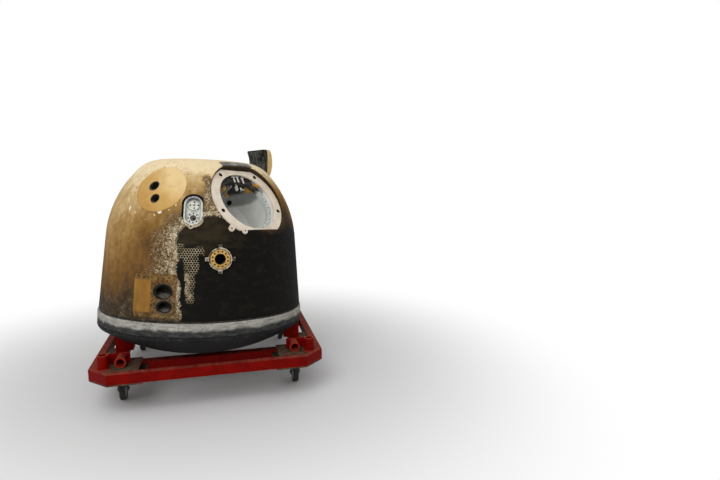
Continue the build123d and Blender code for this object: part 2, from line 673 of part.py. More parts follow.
def corner_outline(reach, inset):
    """The chamfered square corner between a reach from the middle and the frame's outside."""
    far = FRAME_HALF - inset
    cut = FRAME_CHAMFER - inset * (2 - sqrt(2))
    points = [(reach, reach), (far, reach), (far, far - cut), (far - cut, far), (reach, far)]
    return make_face(Polyline(*points, close=True))


def dolly_frame():
    """The welded frame, its plates, ribs, beams, posts, pads, stub pipes and sleeves."""
    half, width = FRAME_HALF, RAIL_WIDTH
    straight = half - FRAME_CHAMFER
    levels = (RAIL_BOTTOM, RAIL_TOP)
    side = bar((half - width, half), (-straight, straight), levels)
    end = bar((-straight, straight), (half - width, half), levels)
    outside = make_face(Polyline(
        (straight, half), (half, straight), (half - width, straight), (straight, half - width), close=True))
    corner = Pos(0, 0, RAIL_BOTTOM) * extrude(outside, RAIL_TOP - RAIL_BOTTOM)
    plate_low = CORNER_PLATE_TOP - CORNER_PLATE_THICK
    rail_inside = half - width - BOND
    side_plate = Rectangle(rail_inside - POST_X + POST_SIDE / 2, CORNER_PLATE_REACH - SIDE_PLATE_REACH + 1)
    side_x = (rail_inside + POST_X - POST_SIDE / 2) / 2
    plate_face = corner_outline(CORNER_PLATE_REACH, width + BOND)
    plate_face += Pos(side_x, (CORNER_PLATE_REACH + SIDE_PLATE_REACH + 1) / 2) * side_plate
    plate_face -= Pos(POST_X, BEAM_Y) * Rectangle(POST_SIDE + 2 * BOND, POST_SIDE + 2 * BOND)
    plate = Pos(0, 0, plate_low) * extrude(plate_face, CORNER_PLATE_THICK)
    rib = bar(
        (half - RIB_INNER_SETBACK, rail_inside),
        (RIB_Y - RIB_THICK, RIB_Y),
        (CORNER_PLATE_TOP, CORNER_PLATE_TOP + RIB_HEIGHT),
    )
    sole = Pos(0, 0, RAIL_BOTTOM - SOLE_THICK) * extrude(corner_outline(SOLE_REACH, 0), SOLE_THICK)
    beam_y = (BEAM_Y - BEAM_WIDTH / 2, BEAM_Y + BEAM_WIDTH / 2)
    beam = bar((-half, half), beam_y, (RAIL_BOTTOM - BEAM_HEIGHT, RAIL_BOTTOM))
    post = bar((POST_X - POST_SIDE / 2, POST_X + POST_SIDE / 2), POST_Y, (RAIL_BOTTOM, POST_TOP))
    bowl = Pos(0, 0, DISH_CENTRE_Z) * Sphere(DISH_R + SEAT_GAP)
    pad_x = (PAD_X - PAD_WIDTH / 2, PAD_X + PAD_WIDTH / 2)
    pad = bar(pad_x, POST_Y, (POST_TOP, POST_TOP + PAD_HEIGHT)) - bowl
    pipe = ring(STUB_R, STUB_BORE_R, -STUB_FACE_Y, -RIB_Y)
    stub = Pos(STUB_X, 0, CORNER_PLATE_TOP + STUB_R) * Rot(90, 0, 0) * pipe
    sleeve = Pos(SLEEVE_X, SLEEVE_Y, 0) * ring(SLEEVE_R, SLEEVE_BORE_R, CORNER_PLATE_TOP, SLEEVE_TOP)
    return {
        "side_rails": [side, mirror(side, about=Plane.YZ)],
        "end_rails": [end, mirror(end, about=Plane.XZ)],
        "corner_rails": corners(corner),
        "corner_plates": corners(plate),
        "corner_ribs": corners(rib),
        "corner_soles": corners(sole),
        "cross_beams": [beam, mirror(beam, about=Plane.XZ)],
        "saddle_posts": corners(post),
        "saddle_pads": corners(pad),
        "stub_pipes": corners(stub),
        "jack_sleeves": corners(sleeve),
    }


def caster():
    """One swivel caster about its kingpin: the head, the fork with its axle, hub and tyre."""
    plate_top = RAIL_BOTTOM - SOLE_THICK
    plate_low = plate_top - CASTER_PLATE_THICK
    half = CASTER_PLATE_SIDE / 2
    cup_low = plate_low - SWIVEL_CUP_HEIGHT
    head = bar((-half, half), (-half, half), (plate_low, plate_top))
    head += drum(SWIVEL_CUP_R, cup_low, plate_low)
    head -= drum(KINGPIN_R + CASTER_RUNNING, cup_low - 1, plate_low)
    crown_top = cup_low - SWIVEL_GAP
    crown_low = crown_top - FORK_CROWN_THICK
    leg_x = WHEEL_WIDTH / 2 + FORK_GAP
    outer_x = leg_x + FORK_LEG_THICK
    leg_half = FORK_LEG_WIDTH / 2
    fork = drum(KINGPIN_R, crown_low, plate_low - SWIVEL_GAP) + drum(SWIVEL_CUP_R, crown_low, crown_top)
    fork += bar((-outer_x, outer_x), (-SWIVEL_CUP_R, CASTER_TRAIL), (crown_low, crown_top))
    fork -= bar((-2 * outer_x, 2 * outer_x), (-2 * outer_x, -SWIVEL_CUP_R), (crown_low - 1, crown_top + 1))
    leg_face = Plane.YZ * (make_face(Polyline(
        (-SWIVEL_CUP_R, crown_low), (CASTER_TRAIL, crown_low),
        (CASTER_TRAIL + leg_half, WHEEL_R), (CASTER_TRAIL - leg_half, WHEEL_R), close=True))
        + Pos(CASTER_TRAIL, WHEEL_R) * Circle(leg_half))
    for x in (-outer_x, leg_x):
        fork += Pos(x, 0, 0) * extrude(leg_face, FORK_LEG_THICK, dir=(1, 0, 0))
    axle_place = Pos(0, CASTER_TRAIL, WHEEL_R) * Rot(0, 90, 0)
    fork += axle_place * drum(AXLE_R, -leg_x, leg_x)
    hub_r = WHEEL_R - TYRE_THICK
    hub_half = WHEEL_WIDTH / 2
    boss_half = hub_half + HUB_BOSS_PROUD
    hub = drum(hub_r, -HUB_WIDTH / 2, HUB_WIDTH / 2) + drum(HUB_BOSS_R, -boss_half, boss_half)
    hub -= drum(AXLE_R + CASTER_RUNNING, -WHEEL_WIDTH, WHEEL_WIDTH)
    tyre = ring(WHEEL_R, hub_r, -hub_half, hub_half)
    tyre = fillet(tyre.edges().filter_by(GeomType.CIRCLE).sort_by(SortBy.RADIUS)[-2:], TYRE_EDGE_R)
    return head, {"caster_fork": fork, "caster_hub": axle_place * hub, "caster_tyre": axle_place * tyre}


def dolly():
    """The frame and its four casters, each named for its corner, all trailing one way."""
    pieces = dolly_frame()
    head, moving = caster()
    pieces["caster_heads"] = []
    for corner, side_x, side_y in (("fl", -1, -1), ("fr", 1, -1), ("rl", -1, 1), ("rr", 1, 1)):
        place = Pos(side_x * CASTER_X, side_y * CASTER_Y, 0)
        pieces["caster_heads"].append(place * head)
        for name, piece in moving.items():
            pieces[f"{name}_{corner}"] = place * piece
    return pieces


def write(name, shape):
    """Write one node, as one solid or as several that don't touch."""
    if isinstance(shape, list):
        shape = Compound([solid for piece in shape for solid in piece.solids()])
    export_step(shape, f"parts/{name}.step")


os.makedirs("parts", exist_ok=True)
capsule_pieces, hatch_swing = capsule()
for name, piece in capsule_pieces.items():
    if isinstance(piece, list):
        write(name, [seated(copy) for copy in piece])
    else:
        write(name, seated(piece))
for name, piece in dolly().items():
    copies = piece if isinstance(piece, list) else [piece]
    write(name, [Pos(SEAT_X, SEAT_Y, 0) * copy for copy in copies])
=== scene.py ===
import json
from contextlib import contextmanager
from functools import reduce
from itertools import product
from math import asin, atan2, cos, degrees, pi, radians, sin, sqrt, tan

import bmesh
import bpy
import numpy as np
from mathutils import Matrix, Vector


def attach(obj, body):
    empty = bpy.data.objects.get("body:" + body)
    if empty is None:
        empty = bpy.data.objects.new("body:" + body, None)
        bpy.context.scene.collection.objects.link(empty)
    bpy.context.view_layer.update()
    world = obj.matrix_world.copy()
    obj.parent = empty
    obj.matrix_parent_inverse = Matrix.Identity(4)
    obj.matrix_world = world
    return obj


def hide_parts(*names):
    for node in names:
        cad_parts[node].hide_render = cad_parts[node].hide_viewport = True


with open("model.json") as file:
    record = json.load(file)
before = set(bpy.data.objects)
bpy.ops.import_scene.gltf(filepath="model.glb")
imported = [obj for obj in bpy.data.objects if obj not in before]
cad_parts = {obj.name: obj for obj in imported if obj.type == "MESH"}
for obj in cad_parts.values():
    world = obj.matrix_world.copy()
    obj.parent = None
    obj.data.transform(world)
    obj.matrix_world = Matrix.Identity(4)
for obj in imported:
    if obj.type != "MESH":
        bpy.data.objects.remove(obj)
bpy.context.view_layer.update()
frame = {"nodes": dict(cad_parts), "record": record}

# A flown re-entry capsule on its wheeled dolly. Lengths are metres, angles degrees.
# The capsule's own frame has its origin in the middle of the heat shield's rim plane and
# +Z up its axis. An azimuth of 0 faces -Y there and grows towards +X.

# Camera: its place, its turn to the right and its drop below level
CAMERA_PLACE = (0.0867, -3.5366, 1.38)
CAMERA_YAW = 15.0
CAMERA_DROP = 8.6
CAMERA_LENS = 26.45
SENSOR_WIDTH = 36.0

# Light: the world's strength, the soft lamp, and the floor that fades to white
WORLD_LIGHT = 0.62
KEY_PLACE = (-1.3, -3.1, 3.5)
KEY_AIM = (0, 0, 0.8)
KEY_SIZE = 2.6
KEY_POWER = 68.0
FLOOR_HALF = 14.0
FLOOR_FADE = (0.9, 2.6)
FLOOR_GREY = (0.80, 0.80, 0.80)
WHITE = (1.0, 1.0, 1.0)

# Outer shape of the capsule, as in the solids
CONE_FOOT_R = 0.617
CONE_FOOT_U = 0.030
CONE_ANGLE = 5.13
SHOULDER_START_U = 0.470
SHOULDER_R = 0.665
SHOULDER_END_ANGLE = 44.0
NOSE_R = 0.193
SPLIT_U = 0.500
SPLIT_GAP = 0.001
DISH_R = 1.0939
RIM_R = 0.625
RIM_CORNER_R = 0.031
RIM_TOP_U = 0.020
RIM_BOTTOM_U = -0.0575
# The height up the rim from which it is left without painted shade
RIM_UNSHADED_FROM = 0.040
LEAN = 5.25
LEAN_AZIMUTH = 146.5
SEAT = np.array((0.0119, 0.0228, 0.1642 + DISH_R))
DISH_CENTRE_U = RIM_BOTTOM_U + sqrt((DISH_R - RIM_CORNER_R) ** 2 - (RIM_R - RIM_CORNER_R) ** 2)
SYMMETRY_AZIMUTH = 62.0

# Places on the shell: azimuth, height
PATCH = (-28.6, 0.753)
PATCH_R = 0.145
PATCH_HOLES = ((-33.6, 0.761), (-29.7, 0.691))
PANEL_STRIP = (-38.0, -26.4)
PANEL_STRIP_TOP = 0.252
PANEL_HOLE = (-30.6, 0.263)
PANEL_CAVITIES = ((-19.5, 0.190), (-18.5, 0.109))
CONNECTOR = (-5.3, 0.629)
VENT = (9.4, 0.368)
BAY_AZIMUTH = 37.0
BAY_ELEVATION = 33.0
BAY_SINK = 0.0655
BAY_ACROSS = -0.024
BAY_BELOW_TOUCH = 0.0555
BAY_HALF_X = 0.26
BAY_HALF_Y = 0.27
BAY_FLANGE_THICK = 0.010
HATCH_AZIMUTH = 117.3
HATCH_EDGE_ANGLE = 42.5
HATCH_FAR_R = 0.250
HATCH_OPEN = 66.0
HATCH_HINGE_DEPTH = 0.014
HATCH_LENGTH = 0.178
HATCH_LEVEL_R = 0.36
HATCH_PALE_DEPTH = 0.012
HATCH_RIB_PITCH = 0.038

# Connector: its plate's outline and the back and front of the flat face drawn on it
CONNECTOR_WIDTH = 0.098
CONNECTOR_HEIGHT = 0.164
CONNECTOR_REACH = (CONNECTOR_HEIGHT - CONNECTOR_WIDTH) / 2
CONNECTOR_FACE = (-0.0345, -0.0165)
# How far a drawn skin stays inside the recess or the can that holds it
SKIN_GAP = 0.0006
# Grooves round the plate, drawn as dark lines of painted shade in the plate's steps: how far inside its
# outline, and their width
CONNECTOR_LINES = ((0.0010, 0.0022), (0.0072, 0.0016), (0.0125, 0.0012))
LINE_HALF = 0.0004
# Grooves round the plugs, drawn as dark lines of painted shade: place up the plate, outer and inner radius,
# height
PLUG_RINGS = (
    (0.034, 0.0300, 0.0286, -0.0096), (-0.038, 0.0330, 0.0316, -0.0140), (0.034, 0.0370, 0.0352, -0.0165),
)
# Plugs: place up the plate and height of the face, then their faces and sockets
UPPER_PLUG = (0.034, -0.0098)
LOWER_PLUG = (-0.038, -0.0138)
PLUG_FACE_R = 0.0292
PIN_FIELD_R = 0.0165
# Sockets of the upper plug, drawn black as painted shade: place, half width, half height
UPPER_SOCKETS = (
    (0.004, 0.034 + 0.0175, 0.0050, 0.0040), (-0.0185, 0.034, 0.0045, 0.0050),
    (0.0235, 0.034, 0.0045, 0.0045), (0.0025, 0.034 + 0.0015, 0.0060, 0.0045),
    (0.003, 0.034 - 0.0165, 0.0032, 0.0062),
)
LOWER_SOCKET_R = 0.0040
LOWER_SOCKET_CIRCLE_R = 0.0255
KEY_SOCKET = (0.0035, -0.005, 0.0010)
KEY_SOCKET_R = 0.0055
CONNECTOR_LUG_MARK = (-0.008, -0.090, 0.0034)
CONNECTOR_LUG_MARK_R = 0.0050
# The silver inside of the rim, then the raised bands round it: outer radius, first and last angle, height;
# the first band is black painted shadow round the rim's upper side
RIM_SILVER_R = 0.0518
CONNECTOR_SHADOW_BAND = (0.0612, 15, 200, 0.0036)
CONNECTOR_SKIRT = (0.0620, 196, 352, 0.0034)
BAND_FOOT = -0.008

# Vent and bay fittings
VENT_BOLTS = 12
VENT_BOLT_R = 0.042
VENT_LUG_HOLE = 0.073
# Marks: the bolt holes' outer and inner radius, foot and top, then the lug holes' radius, foot and top
VENT_MARK = (0.0050, 0.0028, -0.0003, 0.0004)
VENT_LUG_MARK = (0.0042, -0.0003, 0.0005)
BAY_BOLT_ANGLES = (54.0, 126.0, 198.0, 342.0)
BAY_BOLT_CIRCLE_R = 0.216
BAY_CUP_R = 0.0115
BAY_LUGS = ((-0.194, -0.182), (-0.108, -0.200))
BAY_LUG_HOLE_R = 0.0045
BAY_WALL_R = 0.188
# The ring's foot and top, its bore, its screws and the black marks of painted shade in the holes between them
BAY_RING_SPAN = (-0.060, -0.032)
BAY_RING_BORE_R = 0.163
BAY_RING_BOLT_R = 0.175
BAY_RING_BOLTS = 24
BAY_SCREW = (0.0066, 0.0030)
BAY_RING_MARK_R = 0.0034
# T pins: how far across and how deep they stand, their stem's radii and heights, and their bar's ranges
BAY_T_PINS = (-0.018, 0.010, 0.046)
BAY_T_PIN_Z = -0.023
T_PIN_STEM = ((0, -0.001), (0.0050, -0.001), (0.0050, 0.036), (0.0038, 0.042), (0, 0.043))
T_PIN_BAR = ((-0.0125, 0.0125), (-0.0045, 0.0045), (0.001, 0.0075))
# The bracket's two lugs, its arm to the wall and its wing; then the block of black painted shade in the gap
# between the lugs
BAY_LUG_BLOCKS = (
    ((0.002, 0.015), (0.110, 0.142), (-0.068, -0.050)), ((0.027, 0.042), (0.110, 0.130), (-0.068, -0.050)),
    ((0.018, 0.026), (0.130, 0.182), (-0.072, -0.058)), ((0.040, 0.076), (0.120, 0.128), (-0.070, -0.062)),
)
BAY_LUG_GAP_SHADE = ((0.014, 0.028), (0.108, 0.132), (-0.066, -0.0515))
# Tapes: where they lie over the wall, then angle round the can, depth, half sizes round and along it, lean
TAPE_LAYER = (-0.0060, -0.0012)
BAY_TAPES = (
    (48.0, -0.083, 0.024, 0.021, 35), (47.5, -0.036, 0.012, 0.011, 10), (42.5, -0.016, 0.013, 0.010, -30),
)
# Wraps of tape on the pins: place, radius, half length
BAY_WRAPS = ((-0.060, 0.146, -0.094, 0.0170, 0.017), (-0.006, 0.134, -0.1475, 0.0130, 0.004))
# The port deep in the can, drawn black as painted shade: angle round it, depth, lean, and half sizes
BAY_PORT = (56.4, -0.255, -50)
BAY_PORT_HALF = (0.0165, 0.0125)
BAY_PORT_INSET = 0.011
BAY_PORT_SPAN = (-0.014, 0.001)

# Profiles in shares of a radius and a height (wrap, screw head, hexagon head), then a weld bead's own
WRAP = ((0, -1), (0.8, -1), (1, -0.5), (0.9, 0), (1, 0.6), (0.7, 1), (0, 1))
SCREW = ((0, -1), (0.9, -1), (1, 0), (0.96, 0.6), (0.75, 1), (0.45, 1), (0.38, 0.35), (0, 0.3))
HEX_HEAD = ((0, 0), (1, 0), (1, 0.95), (0.86, 1.15), (0, 1.15))
WELD = ((0.0290, 0), (0.0360, 0), (0.0325, 0.0040), (0.0290, 0.0060))

# Dolly: places from its middle
SLEEVE = (0.570, 0.525)
SLEEVE_TOP = 0.325
SLEEVE_R = 0.0300
SLEEVE_BORE_R = 0.0240
STUB_BORE_R = 0.0235
# Height span of the bright rings at the sleeve and stub mouths, worn paint with painted highlight
WORN_HIGHLIGHT_SPAN = (-0.0006, 0.0003)
STUB = (0.482, 0.534, 0.276)
PLATE_TOP = 0.246
PLATE_BOLTS = ((0.425, 0.585), (0.545, 0.585), (0.600, 0.470), (0.430, 0.490))
CASTERS = (("fl", -1, -1), ("fr", 1, -1), ("rl", -1, 1), ("rr", 1, 1))
CASTER = (0.500, 0.420)
CASTER_TRAIL = 0.038
WHEEL_R = 0.0625
FORK_OUT = 0.027
# Radius and height of a plate bolt's head and an axle nut
PLATE_BOLT = (0.0085, 0.0060)
AXLE_NUT = (0.0090, 0.0055)

# Meshes: voxel sizes of the ablator and of the inlaid tiles
VOXEL = 0.005
INLAY_VOXEL = 0.0032
# How near to the outer shape a point is put onto it, and from which to which depth the relief fades
SNAP = (0.0012, 0.0026)
INLAY_SNAP = (0.0010, 0.0022)
RELIEF_FADE = (0.004, 0.012)
INLAY_FADE = (0.002, 0.006)
# How far a tile spreads over its seam, and how far from a hole it doesn't
SEAM_COVER = 0.0026
HOLE_KEEP = 0.044
HOLE_FADE = 0.006
# What is hidden: below a depth, and round the bay behind its flange; then where faces are cut finer
HIDDEN_DEPTH = 0.046
BAY_CLEAR = 0.004
BAY_HIDDEN_DEPTH = 0.012
FINE_AZIMUTHS = (-36, 16)
FINE_HEIGHTS = (0.10, 0.70)
FINE_DEPTHS = (-1, 0.006)
# How far the char lies below the crust, and the pitch of the bare comb
CHAR_RECESS = 0.006
COMB_PITCH = 0.0140
# The rim's points round it, how far its skin runs inward, and the sharp angles
RIM_STEPS = 900
RIM_INWARD = 0.120
RIM_SHARP_ANGLE = 50.0
SHARP_ANGLE = 35.0
DISC_HALF = 0.0005

# Colours, linear
CREAM = (0.86, 0.70, 0.44)
PALE_TAN = (0.56, 0.395, 0.185)
TAN = (0.375, 0.225, 0.076)
TAN_BROWN = (0.245, 0.130, 0.034)
BROWN = (0.165, 0.080, 0.020)
DARK_BROWN = (0.090, 0.048, 0.017)
SOOT = (0.036, 0.023, 0.012)
GOLD_TILE = (0.59, 0.360, 0.110)
PALE_GOLD = (0.78, 0.575, 0.280)
CHAR_CREAM = (0.72, 0.63, 0.46)
CHAR_BLACK = (0.0035, 0.0030, 0.0025)
CHAR_OLIVE = (0.030, 0.021, 0.010)
CHIP_WHITE = (0.88, 0.83, 0.70)


def polar(radius, angle, centre=(0.0, 0.0)):
    """A point at a radius and an angle from a centre, in a plane drawing."""
    return (centre[0] + radius * cos(radians(angle)), centre[1] + radius * sin(radians(angle)))


CONE_END_R = CONE_FOOT_R - (SHOULDER_START_U - CONE_FOOT_U) * tan(radians(CONE_ANGLE))
SHOULDER_CENTRE = polar(-SHOULDER_R, CONE_ANGLE, (CONE_END_R, SHOULDER_START_U))
SHOULDER_END = polar(SHOULDER_R, SHOULDER_END_ANGLE, SHOULDER_CENTRE)
NOSE_CENTRE = polar(-NOSE_R, SHOULDER_END_ANGLE, SHOULDER_END)
APEX_U = NOSE_CENTRE[1] + NOSE_R
CONE_RUN = (SHOULDER_START_U - CONE_FOOT_U) / cos(radians(CONE_ANGLE))
SHOULDER_RUN = CONE_RUN + SHOULDER_R * radians(SHOULDER_END_ANGLE - CONE_ANGLE)
NOSE_RUN = SHOULDER_RUN + NOSE_R * radians(90 - SHOULDER_END_ANGLE)


# Frames of the capsule and its fittings
def outward(azimuth):
    """The level direction that faces an azimuth."""
    return Vector((sin(radians(azimuth)), -cos(radians(azimuth)), 0))


def seat_matrix():
    """The turn and move from the capsule's own frame to the model's."""
    lean = outward(LEAN_AZIMUTH)
    turn = Matrix.Rotation(radians(LEAN), 4, Vector((0, 0, 1)).cross(lean))
    return Matrix.Translation(SEAT) @ turn @ Matrix.Translation((0, 0, -DISH_CENTRE_U))


SEATED = seat_matrix()
TURN = np.array(SEATED.to_3x3())


def frame_matrix(origin, x, z):
    """A frame in the model from an origin and two axes in the capsule's own frame."""
    y = z.cross(x)
    matrix = Matrix((x, y, z)).transposed().to_4x4()
    matrix.translation = origin
    return SEATED @ matrix


def station(azimuth, u):
    """A frame on the outer shape: x runs level, y up the surface and z outward."""
    if u < SHOULDER_START_U:
        radius = CONE_FOOT_R - (u - CONE_FOOT_U) * tan(radians(CONE_ANGLE))
        slope = CONE_ANGLE
    else:
        centre, arc_r = (SHOULDER_CENTRE, SHOULDER_R) if u < SHOULDER_END[1] else (NOSE_CENTRE, NOSE_R)
        slope = degrees(asin((u - centre[1]) / arc_r))
        radius = centre[0] + arc_r * cos(radians(slope))
    level = outward(azimuth)
    normal = level * cos(radians(slope)) + Vector((0, 0, sin(radians(slope))))
    return frame_matrix(level * radius + Vector((0, 0, u)), Vector((0, 0, 1)).cross(level), normal)


def bay_frame():
    """The frame of the parachute bay's flange, centred on its mouth."""
    level = outward(BAY_AZIMUTH)
    normal = level * cos(radians(BAY_ELEVATION)) + Vector((0, 0, sin(radians(BAY_ELEVATION))))
    across = Vector((0, 0, 1)).cross(level)
    up = normal.cross(across)
    rise = radians(BAY_ELEVATION)
    plane = SHOULDER_CENTRE[0] * cos(rise) + SHOULDER_CENTRE[1] * sin(rise) + SHOULDER_R - BAY_SINK
    height = SHOULDER_CENTRE[1] * cos(rise) - SHOULDER_CENTRE[0] * sin(rise) - BAY_BELOW_TOUCH
    return frame_matrix(normal * plane + across * BAY_ACROSS + up * height, across, normal)


def hatch_frame():
    """The frame of the closed hatch: the origin is on its hinge edge and y runs inward."""
    near = polar(SHOULDER_R, HATCH_EDGE_ANGLE, SHOULDER_CENTRE)
    rise = atan2(APEX_U - near[1], near[0] - HATCH_FAR_R)
    level = outward(HATCH_AZIMUTH)
    normal = level * sin(rise) + Vector((0, 0, cos(rise)))
    return frame_matrix(level * near[0] + Vector((0, 0, near[1])), Vector((0, 0, 1)).cross(level), normal)


BAY = bay_frame()
HATCH = hatch_frame()
HATCH_SWING = Matrix.Translation((0, 0, -HATCH_HINGE_DEPTH)) @ Matrix.Rotation(
    radians(HATCH_OPEN), 4, "X") @ Matrix.Translation((0, 0, HATCH_HINGE_DEPTH))
COVER = HATCH @ HATCH_SWING


# Numbers over many points at once
def smooth(low, high, value):
    """0 below low, 1 above high, and a soft step between."""
    t = np.clip((value - low) / (high - low), 0, 1)
    return t * t * (3 - 2 * t)


LATTICE = np.random.default_rng(11).random((64, 64, 64))


def cloud(points, size, octaves=3, seed=0):
    """Smooth noise from 0 to 1 with features of a size, at each point."""
    total = np.zeros(len(points))
    weight = 0.0
    for octave in range(octaves):
        p = points / size * 2.0 ** octave + 13.7 * (seed + 1) + 5.1 * octave
        cell = np.floor(p).astype(int)
        t = p - cell
        t = t * t * (3 - 2 * t)
        value = np.zeros(len(points))
        for corner in product((0, 1), repeat=3):
            at = (cell + corner) % 64
            share = np.prod(np.where(corner, t, 1 - t), axis=1)
            value += share * LATTICE[at[:, 0], at[:, 1], at[:, 2]]
        total += value * 0.5 ** octave
        weight += 0.5 ** octave
    return total / weight


def spots(points, size, share, seed=0):
    """Scattered round spots: 1 in their middles and 0 between them."""
    cell = np.floor(points / size).astype(int)
    best = np.ones(len(points))
    for step in product((-1, 0, 1), repeat=3):
        at = cell + step
        hashed = (at * (73856093, 19349663, 83492791)).sum(1) + 977 * seed
        draw = [LATTICE[(hashed + k) % 64, (hashed // 64) % 64, (hashed // 4096 + 7 * k) % 64]
                for k in range(4)]
        centre = at + np.stack(draw[:3], 1)
        away = np.linalg.norm(points / size - centre, axis=1)
        best = np.where(draw[3] < share, np.minimum(best, away * (1.6 - draw[3] / share)), best)
    return 1 - smooth(0.25, 0.5, best)


def edge_distance(across, up, outline):
    """Distance of points to a closed outline, negative inside it."""
    best = np.full(len(across), 9.0)
    inside = np.zeros(len(across), bool)
    for (x0, y0), (x1, y1) in zip(outline, outline[1:] + outline[:1]):
        dx, dy = x1 - x0, y1 - y0
        t = np.clip(((across - x0) * dx + (up - y0) * dy) / (dx * dx + dy * dy), 0, 1)
        best = np.minimum(best, np.hypot(across - x0 - t * dx, up - y0 - t * dy))
        crosses = (y0 > up) != (y1 > up)
        with np.errstate(divide="ignore", invalid="ignore"):
            left = across < x0 + (up - y0) * dx / dy
        inside ^= crosses & left
    return np.where(inside, -best, best)


def to_capsule(points):
    """Points of the model in the capsule's own frame."""
    return (points - SEAT) @ TURN + (0, 0, DISH_CENTRE_U)


def in_frame(points, matrix):
    """Points of the model in the frame of a fitting."""
    inverse = np.array(matrix.inverted())
    return points @ inverse[:3, :3].T + inverse[:3, 3]


def on_shell(points):
    """Azimuth, height, run up the meridian, depth and outward direction of model points."""
    local = to_capsule(points)
    radius = np.hypot(local[:, 0], local[:, 1])
    u = local[:, 2]
    azimuth = np.degrees(np.arctan2(local[:, 0], -local[:, 1]))
    shoulder = np.degrees(np.arctan2(u - SHOULDER_CENTRE[1], radius - SHOULDER_CENTRE[0]))
    nose = np.degrees(np.arctan2(u - NOSE_CENTRE[1], radius - NOSE_CENTRE[0]))
    zones = [shoulder < CONE_ANGLE, shoulder < SHOULDER_END_ANGLE, radius > NOSE_CENTRE[0]]
    cone_depth = CONE_FOOT_R - (u - CONE_FOOT_U) * tan(radians(CONE_ANGLE)) - radius
    cone_depth = cone_depth * cos(radians(CONE_ANGLE))
    shoulder_depth = SHOULDER_R - np.hypot(radius - SHOULDER_CENTRE[0], u - SHOULDER_CENTRE[1])
    nose_depth = NOSE_R - np.hypot(radius - NOSE_CENTRE[0], u - NOSE_CENTRE[1])
    depth = np.select(zones, [cone_depth, shoulder_depth, nose_depth], APEX_U - u)
    slope = np.select(zones, [np.full(len(u), CONE_ANGLE), shoulder, nose], 90.0)
    run = np.select(zones, [
        (u - CONE_FOOT_U) / cos(radians(CONE_ANGLE)),
        CONE_RUN + SHOULDER_R * np.radians(shoulder - CONE_ANGLE),
        SHOULDER_RUN + NOSE_R * np.radians(nose - SHOULDER_END_ANGLE),
    ], NOSE_RUN + NOSE_CENTRE[0] - radius)
    flat = np.cos(np.radians(slope))
    direction = np.stack([
        flat * np.sin(np.radians(azimuth)),
        -flat * np.cos(np.radians(azimuth)),
        np.sin(np.radians(slope)),
    ], 1) @ TURN.T
    return azimuth, u, run, depth, direction


def folded(azimuth):
    """The azimuth on the front left that each azimuth mirrors in the plane of symmetry."""
    return SYMMETRY_AZIMUTH - np.abs((azimuth - SYMMETRY_AZIMUTH + 180) % 360 - 180)


# The radius at which angles round the shell count as lengths
ARC_R = 0.58


def spacing(side, u, place):
    """How far points at an azimuth and a height are from a place on the shell."""
    return np.hypot(np.radians(side - place[0]) * ARC_R, u - place[1])


PATCH_RISE = asin((PATCH[1] - SHOULDER_CENTRE[1]) / SHOULDER_R)
PATCH_RUN = CONE_RUN + SHOULDER_R * (PATCH_RISE - radians(CONE_ANGLE))
# The black char's edge on the front left: azimuth, height
CHAR_EDGE = (
    (-10.5, -0.20), (-10.5, 0.15), (-12.5, 0.30), (-13.6, 0.39), (-12.6, 0.47), (-11.3, 0.534),
    (-7.5, 0.548), (-2.5, 0.560), (0.2, 0.592), (3.4, 0.602), (7.3, 0.614), (10.6, 0.603),
    (14.0, 0.575), (30.0, 0.56), (52.0, 0.56), (62.0, 0.60), (75.0, 0.60), (75.0, -0.20),
)
# Darker and lighter zones of the tan: azimuth, height, half widths of both, tone added. The light zone at -64
# is painted light on the left side, and the dark zone at 62 is painted shade on the far right side.
TONE_AND_LIGHT_ZONES = (
    (-32.0, 0.49, 7.0, 0.12, -0.20),
    (-21.0, 0.40, 8.0, 0.20, -0.15),
    (-42.0, 0.40, 4.0, 0.10, 0.06),
    (-64.0, 0.42, 14.0, 0.26, 0.10),
    (-52.0, 0.04, 30.0, 0.08, -0.15),
    (-40.0, 0.20, 6.0, 0.10, -0.10),
    (-20.0, 0.64, 9.0, 0.05, -0.12),
    (-9.0, 0.76, 7.0, 0.07, -0.17),
    (2.0, 0.70, 7.0, 0.10, -0.22),
    (62.0, 0.64, 17.0, 0.17, -0.48),
)
# White chips, then grey and dark marks: azimuth, height, half widths in metres
CHIPS = (
    (-46.6, 0.632, 0.008, 0.018), (-24.5, 0.619, 0.016, 0.013), (-37.5, 0.645, 0.006, 0.006),
    (-22.6, 0.644, 0.008, 0.005), (-15.4, 0.657, 0.005, 0.008), (-27.5, 0.600, 0.005, 0.005),
    (-19.0, 0.630, 0.006, 0.004), (-41.0, 0.610, 0.004, 0.005), (-33.0, 0.575, 0.004, 0.004),
)
MARKS = (
    (-48.5, 0.748, 0.008, 0.010), (-11.3, 0.829, 0.012, 0.005), (1.6, 0.830, 0.010, 0.004),
    (-13.9, 0.740, 0.006, 0.006), (-48.7, 0.825, 0.004, 0.012), (-41.0, 0.842, 0.022, 0.003),
    (-33.8, 0.872, 0.014, 0.003), (-5.0, 0.760, 0.020, 0.004), (-9.5, 0.700, 0.005, 0.014),
)
# Crust between the connector and the bay: azimuth, height, half widths of both
CRUST_ABOVE = (4.5, 0.70, 8.5, 0.15)
# What the char left standing of the comb: azimuth range, height range, strength
COMB_ZONES = (
    (-9.6, -1.6, 0.29, 0.425, 1.0),
    (-8.4, -3.8, 0.13, 0.31, 1.0),
    (-13.4, -8.8, 0.375, 0.455, 0.78),
    (-1.9, 2.4, 0.385, 0.435, 0.72),
)


def ellipse_field(side, u, marks):
    """How deep each point is in the nearest of some marks: 1 in its middle, 0 on its edge."""
    field = np.full(len(side), -3.0)
    for azimuth, height, half_x, half_y in marks:
        x = np.radians(side - azimuth) * ARC_R / half_x
        field = np.maximum(field, 1 - np.hypot(x, (u - height) / half_y))
    return field


